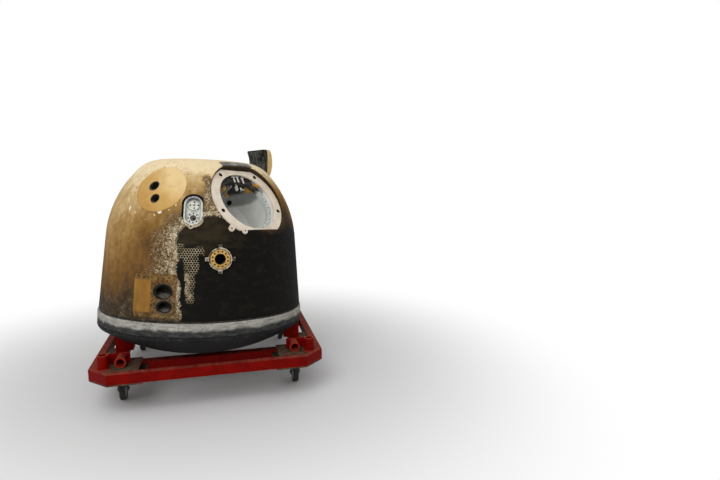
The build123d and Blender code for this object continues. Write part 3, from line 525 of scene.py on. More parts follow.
def shell_masks(points):
    """The fields that place the char, crust, comb, chips and grime, and the relief they make."""
    azimuth, u, run, _, _ = on_shell(points)
    side = folded(azimuth)
    across = np.radians(side) * ARC_R
    outline = [(radians(a) * ARC_R, height) for a, height in CHAR_EDGE]
    edge = edge_distance(across, u, outline)
    edge = edge + (cloud(points, 0.06, 2, 1) - 0.5) * 0.034 + (cloud(points, 0.018, 2, 2) - 0.5) * 0.014
    black = smooth(0.003, -0.003, edge)
    reach = 0.12 + 0.085 * smooth(0.64, 0.46, u)
    crust = 1 - smooth(0.0, 1.0, (edge + (cloud(points, 0.07, 3, 6) - 0.5) * 0.12) / reach)
    crust *= smooth(0.02, 0.10, u)
    above = np.hypot((side - CRUST_ABOVE[0]) / CRUST_ABOVE[2], (u - CRUST_ABOVE[1]) / CRUST_ABOVE[3])
    above = 0.85 * smooth(1.0, 0.35, above + (cloud(points, 0.05, 3, 14) - 0.5) * 0.8)
    crust = np.maximum(crust * (1 - smooth(0.64, 0.74, u)), above) * smooth(26, 16, side)
    comb_left = np.zeros(len(points))
    for low_a, high_a, low_u, high_u, strength in COMB_ZONES:
        inside = smooth(low_a - 1.4, low_a + 1.0, side) * smooth(high_a + 1.4, high_a - 1.0, side)
        inside *= smooth(low_u - 0.03, low_u + 0.02, u) * smooth(high_u + 0.03, high_u - 0.02, u)
        comb_left = np.maximum(comb_left, inside * strength)
    broken = cloud(points, 0.035, 3, 7)
    comb_left = np.clip(comb_left * 1.5 - 0.5 + (broken - 0.5) * 1.5, 0, 1) * (comb_left > 0)
    chunk = smooth(-2.6, -7.0, side) * smooth(0.33, 0.27, u) * smooth(0.12, 0.16, u) * (comb_left > 0)
    # The tan lightens up the meridian: soot darkens it low down, and painted light from above brightens the
    # upper shell
    tone = run / NOSE_RUN
    for middle, height, half_a, half_u, added in TONE_AND_LIGHT_ZONES:
        tone = tone + added * np.exp(-((side - middle) / half_a) ** 2 - ((u - height) / half_u) ** 2)
    tone = tone - 0.05 * crust
    grime = smooth(0.26, 0.02, u) * (1 - black)
    chips = ellipse_field(side, u, CHIPS)
    marks = ellipse_field(side, u, MARKS)
    lumps = cloud(points, 0.011, 2, 12) - 0.5
    relief = -CHAR_RECESS * black
    relief += 0.0026 * comb_left * black * (1 + 0.5 * chunk)
    relief += crust * (1 - black) * (0.0048 * lumps - 0.0012)
    relief += 0.0024 * np.exp(-(edge / 0.007) ** 2) * (cloud(points, 0.02, 2, 8) - 0.3) * (side < 26)
    relief += CHAR_RECESS * black * smooth(24, 40, side)
    relief += (cloud(points, 0.05, 3, 9) - 0.5) * 0.0012 - 0.0006
    relief += (cloud(points * (1, 1, 0.15), 0.012, 2, 10) - 0.5) * 0.0008 * (1 - black)
    relief -= 0.0012 * np.clip(chips, 0, 1)
    # A second faint contour, outside the round patch at its lower left
    off_x = across - radians(PATCH[0]) * ARC_R
    off_y = run - PATCH_RUN
    second_ring = np.hypot(off_x, off_y) - PATCH_R - 0.011 + 0.04 * smooth(-0.08, 0.0, off_x + off_y)
    masks = {
        "edge": edge, "crust": crust, "comb": comb_left, "chunk": chunk, "tone": tone,
        "grime": grime, "chips": chips, "marks": marks, "second_ring": second_ring,
        "olive": smooth(0.36, 0.50, u) * smooth(30, 6, side), "soft": smooth(24, 40, side),
    }
    return masks, relief


# Materials
class Nodes:
    """A node tree built by short calls, each of which adds a node and returns its output."""

    def __init__(self, tree):
        self.tree = tree

    def link(self, value, socket):
        """Join an output to a socket, or set the socket's own value."""
        if isinstance(value, bpy.types.NodeSocket):
            self.tree.links.new(value, socket)
        elif isinstance(value, tuple) and len(value) == 3 and socket.type == "RGBA":
            socket.default_value = (*value, 1.0)
        else:
            socket.default_value = value

    def add(self, kind, inputs, output=0, **settings):
        """A node of a kind with its inputs and settings."""
        node = self.tree.nodes.new(kind)
        for name, value in settings.items():
            setattr(node, name, value)
        for key, value in inputs.items():
            self.link(value, node.inputs[key])
        return node.outputs[output]

    def ray(self, kind):
        """1 for rays of a kind and 0 for others."""
        return self.add("ShaderNodeLightPath", {}, kind)

    def math(self, operation, first, second=0.0):
        """What an operation makes of one or two numbers."""
        return self.add("ShaderNodeMath", {0: first, 1: second}, operation=operation)

    def plus(self, *values):
        """The sum of some numbers."""
        return reduce(lambda first, second: self.math("ADD", first, second), values)

    def times(self, *values):
        """The product of some numbers."""
        return reduce(lambda first, second: self.math("MULTIPLY", first, second), values)

    def minus(self, first, second):
        """The difference of two numbers."""
        return self.math("SUBTRACT", first, second)

    def sway(self, value, amount):
        """A number from 0 to 1 turned into one on both sides of 0, as wide as an amount."""
        return self.times(self.minus(value, 0.5), amount)

    def step(self, value, low, high):
        """0 up to low, 1 from high on, and a soft step between."""
        return self.add("ShaderNodeMapRange", {
            "Value": value, "From Min": low, "From Max": high}, interpolation_type="SMOOTHSTEP")


class Finish(Nodes):
    """The nodes of one material."""

    def __init__(self, name):
        self.material = bpy.data.materials.new(name)
        self.material.use_nodes = True
        super().__init__(self.material.node_tree)
        self.shader = self.tree.nodes["Principled BSDF"]

    def vector(self, operation, first, second=(0, 0, 0), output=0):
        """What an operation makes of one or two vectors."""
        return self.add("ShaderNodeVectorMath", {0: first, 1: second}, output, operation=operation)

    def mask(self, name, output="Fac"):
        """A number, or a vector, that the mesh stores for each point."""
        return self.add("ShaderNodeAttribute", {}, output, attribute_name=name)

    def place(self):
        """A point's place."""
        return self.add("ShaderNodeTexCoord", {}, "Object")

    def where(self, stretch=(1, 1, 1), attribute=None):
        """A point's place, or a vector that the mesh stores for it, stretched."""
        return self.vector("MULTIPLY", self.mask(attribute, "Vector") if attribute else self.place(), stretch)

    def local(self, matrix):
        """A point's three distances in the frame that a matrix gives."""
        place, turn = tuple(matrix.translation), tuple(matrix.to_euler())
        inputs = {"Vector": self.where(), "Location": place, "Rotation": turn}
        split = self.tree.nodes.new("ShaderNodeSeparateXYZ")
        self.link(self.add("ShaderNodeMapping", inputs, vector_type="TEXTURE"), split.inputs[0])
        return split.outputs

    def noise(self, size, detail=3.0, rough=0.55, stretch=(1, 1, 1), attribute=None):
        """Noise from 0 to 1 with features of a size."""
        vector = self.where(stretch, attribute)
        return self.add("ShaderNodeTexNoise", {
            "Vector": vector, "Scale": 1 / size, "Detail": detail, "Roughness": rough}, "Fac")

    def cells(self, size, stretch=(1, 1, 1), feature="F1"):
        """The distance to the middle of the nearest of scattered cells, or to its edge."""
        inputs = {"Vector": self.where(stretch), "Scale": 1 / size}
        return self.add("ShaderNodeTexVoronoi", inputs, "Distance", feature=feature)

    def over(self, base, colour, cover, strength=None):
        """A colour laid over another one where a mask covers it, wholly or at a strength."""
        cover = self.times(cover, strength) if strength else cover
        return self.add("ShaderNodeMix", {0: cover, 6: base, 7: colour}, 2, data_type="RGBA")

    def blend(self, value, *stops):
        """A colour ramp."""
        node = self.tree.nodes.new("ShaderNodeValToRGB")
        elements = node.color_ramp.elements
        while len(elements) < len(stops):
            elements.new(0.5)
        for element, (place, colour) in zip(elements, stops):
            element.position = place
            element.color = (*colour, 1.0)
        self.link(value, node.inputs[0])
        return node.outputs[0]

    def grey(self, value, low, high):
        """A ramp between two greys, as a roughness that changes over the surface."""
        return self.blend(value, (0.3, (low,) * 3), (0.7, (high,) * 3))

    def comb(self, attribute, pitch):
        """0 in the cells and 1 on the walls of a hexagon comb, across an attribute's x and y."""
        tall = sqrt(3)
        place = self.vector("MULTIPLY", self.mask(attribute, "Vector"), (1 / pitch, 1 / pitch / tall, 0))
        offsets = []
        for shift_by in (0.0, 0.5):
            part = self.vector("FRACTION", self.vector("ADD", place, (shift_by,) * 3))
            part = self.vector("MULTIPLY", self.vector("SUBTRACT", part, (0.5, 0.5, 0)), (1, tall, 0))
            offsets.append(self.vector("ABSOLUTE", part))
        lengths = [self.vector("LENGTH", offset, output="Value") for offset in offsets]
        nearer = self.math("LESS_THAN", *lengths)
        offset = self.add("ShaderNodeMix", {0: nearer, 4: offsets[1], 5: offsets[0]}, 1, data_type="VECTOR")
        slanted = self.vector("DOT_PRODUCT", offset, (0.5, tall / 2, 0), "Value")
        return self.math("MAXIMUM", slanted, self.vector("DOT_PRODUCT", offset, (1, 0, 0), "Value"))

    def upward(self):
        """How much the surface faces up."""
        normal = self.add("ShaderNodeNewGeometry", {}, "Normal")
        return self.add("ShaderNodeSeparateXYZ", {0: normal}, "Z")

    def done(self, colour, roughness, metallic=0.0, specular=0.5, bump=None):
        """Give the shader its colour and gloss, and a bump by a height and how high its 1 stands."""
        values = {"Base Color": colour, "Roughness": roughness, "Metallic": metallic,
                  "Specular IOR Level": specular}
        if bump:
            height, distance = bump
            inputs = {"Height": height, "Distance": distance, "Strength": 1.0}
            values["Normal"] = self.add("ShaderNodeBump", inputs)
        for name, value in values.items():
            self.link(value, self.shader.inputs[name])
        return self.material


MATERIALS = {}


def finish(build):
    """Make the material that a function builds, under the function's name."""
    MATERIALS[build.__name__] = build(Finish(build.__name__))
    return build


@finish
def char_tile(f):
    """Streaked cream, tan and brown ablator with its crust, comb and black char; its tone holds painted light
    and shade, and its inner sides painted shade.
    """
    fine = f.noise(0.0045, 4.0, 0.72)
    grain = f.noise(0.010, 4.0, 0.68)
    streak = f.noise(0.014, 3.0, 0.6, (1, 1, 0.10), "shell")
    broad = f.noise(0.055, 4.0, 0.6, (1, 1, 0.55), "shell")
    blotch = f.noise(0.035, 4.0, 0.65)
    low = f.noise(0.20, 3.0)
    sways = ((low, 0.26), (streak, 0.05), (broad, 0.28), (blotch, 0.36), (grain, 0.22), (fine, 0.10))
    level = f.plus(f.mask("tone"), *(f.sway(value, amount) for value, amount in sways))
    base = f.blend(level, (0.00, SOOT), (0.10, DARK_BROWN), (0.24, BROWN), (0.38, TAN_BROWN),
                   (0.53, TAN), (0.68, PALE_TAN), (0.84, CREAM), (1.00, CREAM))
    smears = f.step(f.noise(0.030, 6.0, 0.78, (1, 1, 0.6)), 0.54, 0.70)
    base = f.over(base, (0.150, 0.090, 0.036), smears, 0.45)
    base = f.over(base, PALE_GOLD, f.mask("warm"))
    base = f.over(base, DARK_BROWN, f.step(f.noise(0.007, 3.0, 0.7), 0.66, 0.74), 0.35)
    base = f.over(base, SOOT, f.times(f.mask("grime"), f.step(grain, 0.44, 0.62)), 0.75)
    dusty = f.times(f.mask("grime"), f.step(f.plus(fine, f.times(blotch, 0.5)), 0.80, 0.92))
    base = f.over(base, (0.34, 0.28, 0.19), dusty, 0.75)

    # Crust: brown lumps with pale crumbs that crowd towards the black char
    crust = f.mask("crust")
    lumps = f.blend(f.noise(0.011, 4.0, 0.75), (0.36, (0.040, 0.024, 0.011)), (0.50, (0.120, 0.066, 0.022)),
                    (0.62, (0.22, 0.130, 0.045)), (0.74, TAN))
    base = f.over(base, lumps, f.step(f.plus(crust, f.sway(grain, 1.1)), 0.08, 0.50), 0.90)
    crumb_tone = f.blend(f.plus(f.noise(0.010, 3.0, 0.7), f.times(crust, 0.14)),
                         (0.36, (0.20, 0.125, 0.055)), (0.54, (0.40, 0.29, 0.155)), (0.74, CHAR_CREAM))
    clumps = f.noise(0.022, 3.0, 0.6)
    crowd = f.plus(f.noise(0.0062, 3.0, 0.75), f.sway(clumps, 0.40), f.times(crust, 0.15))
    crumbs = f.times(f.step(crowd, 0.600, 0.645), f.step(crust, 0.02, 0.20))
    base = f.over(base, crumb_tone, crumbs, 0.95)

    # Black char with what is left of the comb
    edge = f.plus(f.mask("edge"), f.sway(grain, 0.018), f.sway(fine, 0.010))
    width = f.plus(0.0015, f.times(f.mask("soft"), 0.07))
    black = f.step(edge, width, f.times(width, -1.0))
    worn = f.plus(f.times(f.mask("olive"), 0.34), f.noise(0.045, 5.0, 0.7, (0.6, 0.6, 1.3), "shell"))
    dark = f.blend(worn, (0.50, CHAR_BLACK), (0.66, (0.012, 0.009, 0.005)), (0.92, CHAR_OLIVE))
    scuffs = f.step(f.noise(0.007, 4.0, 0.8, (0.15, 0.15, 2.0), "shell"), 0.60, 0.82)
    dark = f.over(dark, (0.060, 0.044, 0.024), scuffs, 0.30)
    wear = f.plus(f.mask("comb"), f.sway(f.noise(0.010, 3.0, 0.75), 1.9))
    bare = f.math("GREATER_THAN", f.comb("plane", COMB_PITCH), f.minus(0.446, f.times(wear, 0.035)))
    wall = f.times(bare, f.step(wear, 0.35, 0.62), 0.85)
    filled = f.step(f.plus(f.mask("chunk"), f.sway(clumps, 2.2)), 0.75, 0.95)
    filled = f.times(filled, f.step(fine, 0.42, 0.56), f.step(f.mask("comb"), 0.1, 0.3))
    comb_tone = f.blend(f.noise(0.018, 3.0, 0.6), (0.34, (0.24, 0.170, 0.085)), (0.52, (0.46, 0.37, 0.225)),
                        (0.72, (0.80, 0.71, 0.52)))
    standing = f.math("MAXIMUM", wall, filled)
    base = f.over(base, f.over(dark, comb_tone, standing), black)
    lip = f.times(f.step(f.math("ABSOLUTE", edge), 0.0055, 0.0025), f.step(fine, 0.46, 0.56),
                  f.step(crust, 0.05, 0.30), f.minus(1.0, f.mask("soft")))
    base = f.over(base, crumb_tone, lip, 0.85)

    # Marks, chips, the faint ring round the patch, and painted shade on the dark inner sides of cuts and
    # recesses
    marked = f.step(f.plus(f.mask("marks"), f.sway(fine, 1.6)), 0.10, 0.40)
    base = f.over(base, (0.16, 0.13, 0.10), marked, 0.7)
    chipped = f.step(f.plus(f.mask("chips"), f.sway(fine, 2.0)), 0.05, 0.30)
    base = f.over(base, CHIP_WHITE, chipped, 0.9)
    ring = f.step(f.math("ABSOLUTE", f.mask("second_ring")), 0.0020, 0.0008)
    base = f.over(base, BROWN, f.times(ring, f.step(broad, 0.40, 0.56)), 0.6)
    inside = f.blend(grain, (0.42, (0.010, 0.006, 0.004)), (0.72, (0.050, 0.028, 0.012)))
    base = f.over(base, inside, f.mask("inside"), 0.96)

    raised = f.plus(f.times(fine, 0.35), f.times(grain, 0.35), f.times(crumbs, f.minus(1.0, black), 0.8),
                    f.times(standing, black))
    return f.done(base, f.grey(fine, 0.66, 0.95), specular=0.12, bump=(raised, 0.0016))


@finish
def smooth_tile(f):
    """Smooth golden tile with fine scratches and faint soot streaks."""
    level = f.plus(f.mask("tone"), f.sway(f.noise(0.07, 4.0, 0.6), 0.7))
    base = f.blend(level, (0.10, (0.48, 0.27, 0.070)), (0.50, GOLD_TILE), (0.90, PALE_GOLD))
    base = f.over(base, TAN_BROWN, f.step(f.noise(0.03, 5.0, 0.7), 0.56, 0.76), 0.30)
    base = f.over(base, BROWN, f.step(f.noise(0.02, 2.0, 0.8, (1.0, 0.12, 0.9)), 0.66, 0.74), 0.35)
    rough = f.grey(f.noise(0.02), 0.5, 0.7)
    return f.done(base, rough, specular=0.2, bump=(f.noise(0.008, 4.0, 0.6), 0.0004))


@finish
def panel_tile(f):
    """The low panel: a smooth orange strip, and worn speckled tile round the cavities."""
    fine = f.noise(0.0045, 4.0, 0.72)
    grain = f.noise(0.011, 4.0, 0.7)
    worn = f.blend(f.noise(0.035, 4.0, 0.65), (0.32, (0.070, 0.034, 0.009)), (0.50, (0.150, 0.078, 0.021)),
                   (0.68, (0.27, 0.155, 0.055)))
    worn = f.over(worn, (0.040, 0.020, 0.007), f.step(grain, 0.50, 0.60), 0.85)
    pale = f.times(f.step(f.plus(fine, f.sway(f.noise(0.02, 3.0), 0.35)), 0.53, 0.62), f.mask("speckled"))
    worn = f.over(worn, (0.42, 0.33, 0.20), pale, 0.75)
    strip = f.blend(f.noise(0.05, 4.0, 0.6, (1, 1, 0.3)), (0.3, (0.215, 0.100, 0.018)),
                    (0.7, (0.345, 0.175, 0.036)))
    strip = f.over(strip, DARK_BROWN, f.step(grain, 0.58, 0.70), 0.5)
    plain = f.blend(f.noise(0.03, 4.0, 0.7), (0.34, (0.105, 0.055, 0.018)), (0.62, (0.24, 0.135, 0.040)))
    base = f.over(f.over(worn, strip, f.mask("strip")), plain, f.mask("plain"))
    base = f.over(base, (0.05, 0.040, 0.028), f.mask("soot"), 0.8)
    base = f.over(base, (0.030, 0.018, 0.010), f.mask("pits"))
    raised = f.plus(f.times(fine, 0.5), f.times(grain, 0.6))
    raised = f.times(raised, f.minus(1.0, f.times(f.mask("strip"), 0.8)))
    return f.done(base, 0.72, specular=0.12, bump=(raised, 0.0014))


@finish
def shield_char(f):
    """Charcoal dish with faint lighter streaks."""
    streak = f.noise(0.012, 4.0, 0.7, (1, 1, 0.12))
    patchy = f.noise(0.07, 4.0, 0.6)
    base = f.blend(f.plus(f.times(streak, 0.6), f.times(patchy, 0.5)), (0.40, (0.006,) * 3),
                   (0.62, (0.020, 0.020, 0.021)), (0.82, (0.085, 0.085, 0.083)))
    base = f.over(base, (0.01, 0.01, 0.01), f.step(f.cells(0.02), 0.12, 0.05), 0.6)
    raised = f.plus(f.noise(0.006, 4.0, 0.7), f.times(streak, 0.6))
    return f.done(base, f.grey(patchy, 0.6, 0.85), specular=0.12, bump=(raised, 0.0012))


@finish
def shield_rim(f):
    """Weathered grey rim: a pale chipped upper band, and painted shade where it turns under."""
    patchy = f.noise(0.026, 6.0, 0.8, (0.55, 0.55, 2.2))
    base = f.blend(patchy, (0.34, (0.20, 0.19, 0.165)), (0.50, (0.36, 0.345, 0.31)),
                   (0.66, (0.54, 0.52, 0.47)))
    soot = f.step(f.noise(0.016, 5.0, 0.8, (0.5, 0.5, 2.0)), 0.56, 0.68)
    base = f.over(base, (0.085, 0.078, 0.065), soot, 0.75)
    crack = f.step(f.cells(0.045, (1, 1, 0.5), "DISTANCE_TO_EDGE"), 0.022, 0.006)
    crack = f.times(crack, f.step(f.noise(0.08, 3.0), 0.48, 0.62))
    base = f.over(base, (0.04, 0.036, 0.03), crack, 0.8)
    # Painted shade on the lower part of the band, where it turns under
    under_shade = f.blend(patchy, (0.36, (0.012, 0.012, 0.012)), (0.54, (0.045, 0.045, 0.044)),
                    (0.72, (0.13, 0.13, 0.12)))
    base = f.over(base, under_shade, f.mask("lower"))
    raised = f.minus(f.plus(f.noise(0.006, 4.0, 0.7), f.noise(0.018, 3.0, 0.6)), crack)
    return f.done(base, f.grey(patchy, 0.65, 0.9), specular=0.12, bump=(raised, 0.0016))


@finish
def cream_composite(f):
    """Cream laminate, faintly speckled and stained."""
    base = f.blend(f.noise(0.05, 4.0), (0.3, (0.66, 0.54, 0.41)), (0.6, (0.80, 0.70, 0.575)))
    base = f.over(base, (0.38, 0.30, 0.24), f.step(f.noise(0.004, 3.0, 0.7), 0.62, 0.72), 0.35)
    base = f.over(base, (0.36, 0.27, 0.19), f.step(f.noise(0.03, 5.0, 0.7), 0.62, 0.80), 0.35)
    return f.done(base, f.grey(f.noise(0.03), 0.45, 0.70), bump=(f.noise(0.003, 3.0, 0.6), 0.0003))


@finish
def grey_metal(f):
    """Light grey painted metal, satin, with scuffs and wipe marks."""
    wipe = f.noise(0.06, 5.0, 0.6, (1, 1, 0.35))
    base = f.blend(wipe, (0.30, (0.42, 0.42, 0.40)), (0.55, (0.56, 0.56, 0.53)), (0.75, (0.66, 0.66, 0.62)))
    base = f.over(base, (0.20, 0.19, 0.18), f.step(f.noise(0.012, 5.0, 0.8, (0.3, 1.6, 1)), 0.62, 0.76), 0.5)
    return f.done(base, f.grey(wipe, 0.40, 0.62), 0.15, bump=(f.noise(0.01, 3.0), 0.0004))


@finish
def bay_metal_painted_light(f):
    """The bay's can: bright with painted light low down, painted shade in grey above a straight edge, and
    soot with painted shade round the top of its wall.
    """
    _, y, z = f.local(BAY)
    wipe = f.noise(0.06, 5.0, 0.6, (1, 1, 0.35))
    sunk = f.math("MINIMUM", f.plus(z, 0.15), 0.0)
    height = f.plus(y, f.times(sunk, 0.40), f.sway(f.noise(0.04, 4.0, 0.7), 0.018))
    base = f.blend(wipe, (0.30, (0.66, 0.66, 0.62)), (0.55, (0.78, 0.78, 0.74)), (0.75, (0.86, 0.86, 0.82)))
    grey = f.blend(wipe, (0.32, (0.26, 0.26, 0.25)), (0.66, (0.42, 0.42, 0.40)))
    soot = f.blend(f.noise(0.02, 5.0, 0.8), (0.42, (0.010, 0.010, 0.008)), (0.56, (0.040, 0.039, 0.034)),
                   (0.70, (0.17, 0.165, 0.15)))
    # Painted shade: grey above a straight edge across the can, then near black soot and painted shade higher
    # up
    base = f.over(base, grey, f.step(height, 0.070, 0.090))
    base = f.over(base, soot, f.step(height, 0.136, 0.162))
    scuff = f.step(f.noise(0.012, 5.0, 0.8, (0.3, 1.6, 1)), 0.62, 0.76)
    base = f.over(base, (0.12, 0.115, 0.105), scuff, 0.4)
    return f.done(base, f.grey(wipe, 0.5, 0.7), specular=0.3, bump=(f.noise(0.01, 3.0), 0.0004))


@finish
def ring_metal_painted_shade(f):
    """The bay's ring: silver at its sides and foot, and near black over its top and left, where soot and
    painted shade lie.
    """
    x, y, _ = f.local(BAY)
    dull = f.noise(0.012, 4.0, 0.7)
    base = f.blend(dull, (0.32, (0.40, 0.41, 0.40)), (0.60, (0.62, 0.64, 0.62)))
    soot = f.blend(dull, (0.40, (0.012, 0.012, 0.010)), (0.62, (0.085, 0.082, 0.075)))
    height = f.plus(y, f.sway(f.noise(0.03, 4.0, 0.7), 0.04))
    height = f.math("MAXIMUM", height, f.minus(f.times(x, -1.0), 0.045))
    # Near black over the top and left: soot and painted shade
    base = f.over(base, soot, f.step(height, 0.070, 0.105))
    return f.done(base, 0.6, specular=0.25, bump=(f.noise(0.003, 3.0, 0.6), 0.0002))


def silver_and_shade(f, height):
    """The connector's silver, bright low down and greyer towards its top, where the shade of the recess is
    painted.
    """
    dull = f.noise(0.010, 4.0, 0.7)
    bright = f.blend(dull, (0.32, (0.46, 0.46, 0.41)), (0.50, (0.62, 0.63, 0.56)), (0.70, (0.72, 0.73, 0.65)))
    shade = f.blend(dull, (0.36, (0.22, 0.23, 0.225)), (0.64, (0.46, 0.46, 0.455)))
    return f.over(bright, shade, f.step(height, 0.045, 0.066))


@finish
def connector_metal(f):
    """Silver-white plate and plugs of the connector, with painted shade towards their top."""
    _, y, _ = f.local(station(*CONNECTOR))
    return f.done(silver_and_shade(f, y), 0.6, specular=0.3, bump=(f.noise(0.003, 3.0, 0.6), 0.0002))


@finish
def connector_rim(f):
    """The connector's rim: silver inside, a black line of painted shadow outside it on its upper part, and
    cream lower down.
    """
    x, y, _ = f.local(station(*CONNECTOR))
    beyond = f.math("MAXIMUM", f.minus(f.math("ABSOLUTE", y), CONNECTOR_REACH), 0.0)
    away = f.math("SQRT", f.plus(f.times(x, x), f.times(beyond, beyond)))
    grain = f.noise(0.010, 4.0, 0.7)
    # burnt is painted shadow: the black crescent in the gap round the rim's upper side
    burnt = f.blend(grain, (0.40, (0.006, 0.005, 0.004)), (0.66, (0.022, 0.015, 0.010)))
    cream = f.blend(grain, (0.36, (0.34, 0.26, 0.16)), (0.56, (0.58, 0.49, 0.37)))
    outside = f.over(cream, burnt, f.step(y, -0.006, 0.002))
    base = f.over(silver_and_shade(f, y), outside, f.step(away, RIM_SILVER_R - 0.0004, RIM_SILVER_R + 0.0004))
    return f.done(base, 0.75, specular=0.2, bump=(grain, 0.0006))


@finish
def charred_flange(f):
    """The vent's cream flange, mostly hidden by char."""
    grain = f.noise(0.008, 4.0, 0.7)
    base = f.blend(grain, (0.36, (0.40, 0.32, 0.22)), (0.60, (0.68, 0.59, 0.47)))
    base = f.over(base, (0.030, 0.022, 0.014), f.step(f.noise(0.028, 4.0, 0.7), 0.50, 0.58), 0.88)
    return f.done(base, 0.85, specular=0.15, bump=(grain, 0.0008))


@finish
def dark_metal(f):
    """Sooty dark metal of the nozzles and tube, greyer and streaked on what faces up, where ash and painted
    light lighten the lower insides of the nozzles.
    """
    soot = f.noise(0.02, 5.0, 0.65)
    base = f.blend(soot, (0.35, (0.004, 0.004, 0.003)), (0.60, (0.014, 0.013, 0.010)),
                   (0.8, (0.05, 0.046, 0.038)))
    # Grey on what faces up: ash together with painted light
    ash_and_light = f.blend(f.noise(0.012, 4.0, 0.75), (0.36, (0.050, 0.048, 0.040)), (0.62, (0.22, 0.21, 0.18)))
    base = f.over(base, ash_and_light, f.step(f.upward(), 0.30, 0.85), 0.8)
    return f.done(base, f.grey(soot, 0.85, 0.65), specular=0.1, bump=(f.noise(0.004, 3.0), 0.0008))


@finish
def dark_panel(f):
    """Dark inner face of the hatch cover, its ribs rubbed to grey with painted highlight along their tops,
    and streaked brown.
    """
    x, _, _ = f.local(COVER)
    base = f.blend(f.noise(0.03, 4.0), (0.32, (0.012, 0.013, 0.011)), (0.66, (0.045, 0.046, 0.040)))
    rib = f.math("FRACT", f.plus(f.times(x, 1 / HATCH_RIB_PITCH), 0.5))
    rib = f.math("ABSOLUTE", f.minus(rib, 0.5))
    # Lighter lines along the ribs: wear and painted highlight on their tops
    rubbed = f.times(f.step(rib, 0.20, 0.08), f.step(f.noise(0.04, 4.0, 0.7), 0.38, 0.56))
    base = f.over(base, (0.165, 0.170, 0.150), rubbed, 0.9)
    brown = f.times(f.step(rib, 0.30, 0.42), f.step(f.noise(0.05, 3.0), 0.46, 0.62))
    base = f.over(base, (0.060, 0.038, 0.018), brown, 0.6)
    return f.done(base, 0.6, 0.1, specular=0.2, bump=(f.noise(0.006, 3.0), 0.0003))


@finish
def hatch_tile(f):
    """The hatch's golden tile, its edge burnt dark on the inner side."""
    x, y, z = f.local(COVER)
    bulge = f.times(y, f.minus(HATCH_LENGTH, y), 0.5 / SHOULDER_R)
    fall = f.times(x, x, 0.5 / HATCH_LEVEL_R)
    tone = f.noise(0.05, 4.0, 0.6)
    grain = f.noise(0.01, 4.0, 0.7)
    gold = f.blend(tone, (0.3, (0.45, 0.27, 0.09)), (0.5, (0.62, 0.43, 0.18)), (0.7, (0.76, 0.60, 0.33)))
    gold = f.over(gold, DARK_BROWN, f.step(grain, 0.58, 0.68), 0.5)
    burnt = f.blend(grain, (0.4, (0.014, 0.010, 0.006)), (0.7, (0.075, 0.050, 0.025)))
    depth = f.plus(f.minus(f.minus(bulge, fall), z), f.sway(tone, 0.006))
    base = f.over(gold, burnt, f.step(depth, HATCH_PALE_DEPTH - 0.002, HATCH_PALE_DEPTH + 0.002))
    return f.done(base, 0.75, specular=0.15, bump=(f.noise(0.005, 4.0, 0.7), 0.0008))


@finish
def red_paint(f):
    """Deep red paint, dusty where it faces up, with chips and lighter patches."""
    tone = f.noise(0.08, 4.0, 0.6)
    base = f.blend(tone, (0.3, (0.125, 0.0018, 0.0008)), (0.7, (0.225, 0.0034, 0.0014)))
    dusty = f.times(f.step(f.upward(), 0.50, 0.97), f.step(f.noise(0.03, 5.0, 0.7), 0.30, 0.66))
    base = f.over(base, (0.270, 0.085, 0.055), dusty, 0.75)
    base = f.over(base, (0.25, 0.012, 0.006), f.step(f.noise(0.012, 5.0, 0.75), 0.60, 0.80), 0.25)
    chip = f.step(f.noise(0.010, 4.0, 0.8), 0.70, 0.74)
    base = f.over(base, (0.055, 0.038, 0.033), chip)
    rough = f.over(f.grey(tone, 0.38, 0.58), (0.9, 0.9, 0.9), dusty)
    return f.done(base, rough, specular=0.04, bump=(f.minus(f.noise(0.004, 3.0, 0.6), chip), 0.0004))


@finish
def floor_plate(f):
    """Flat plates of the dolly: red paint nearly hidden by brown dust and wear."""
    base = f.blend(f.noise(0.04, 5.0, 0.7), (0.32, (0.050, 0.010, 0.006)), (0.50, (0.085, 0.050, 0.032)),
                   (0.68, (0.135, 0.088, 0.060)))
    base = f.over(base, (0.09, 0.06, 0.05), f.step(f.noise(0.02, 4.0, 0.8, (0.2, 1.4, 1)), 0.62, 0.74), 0.6)
    return f.done(base, 0.8, specular=0.1, bump=(f.noise(0.004, 3.0, 0.6), 0.0004))


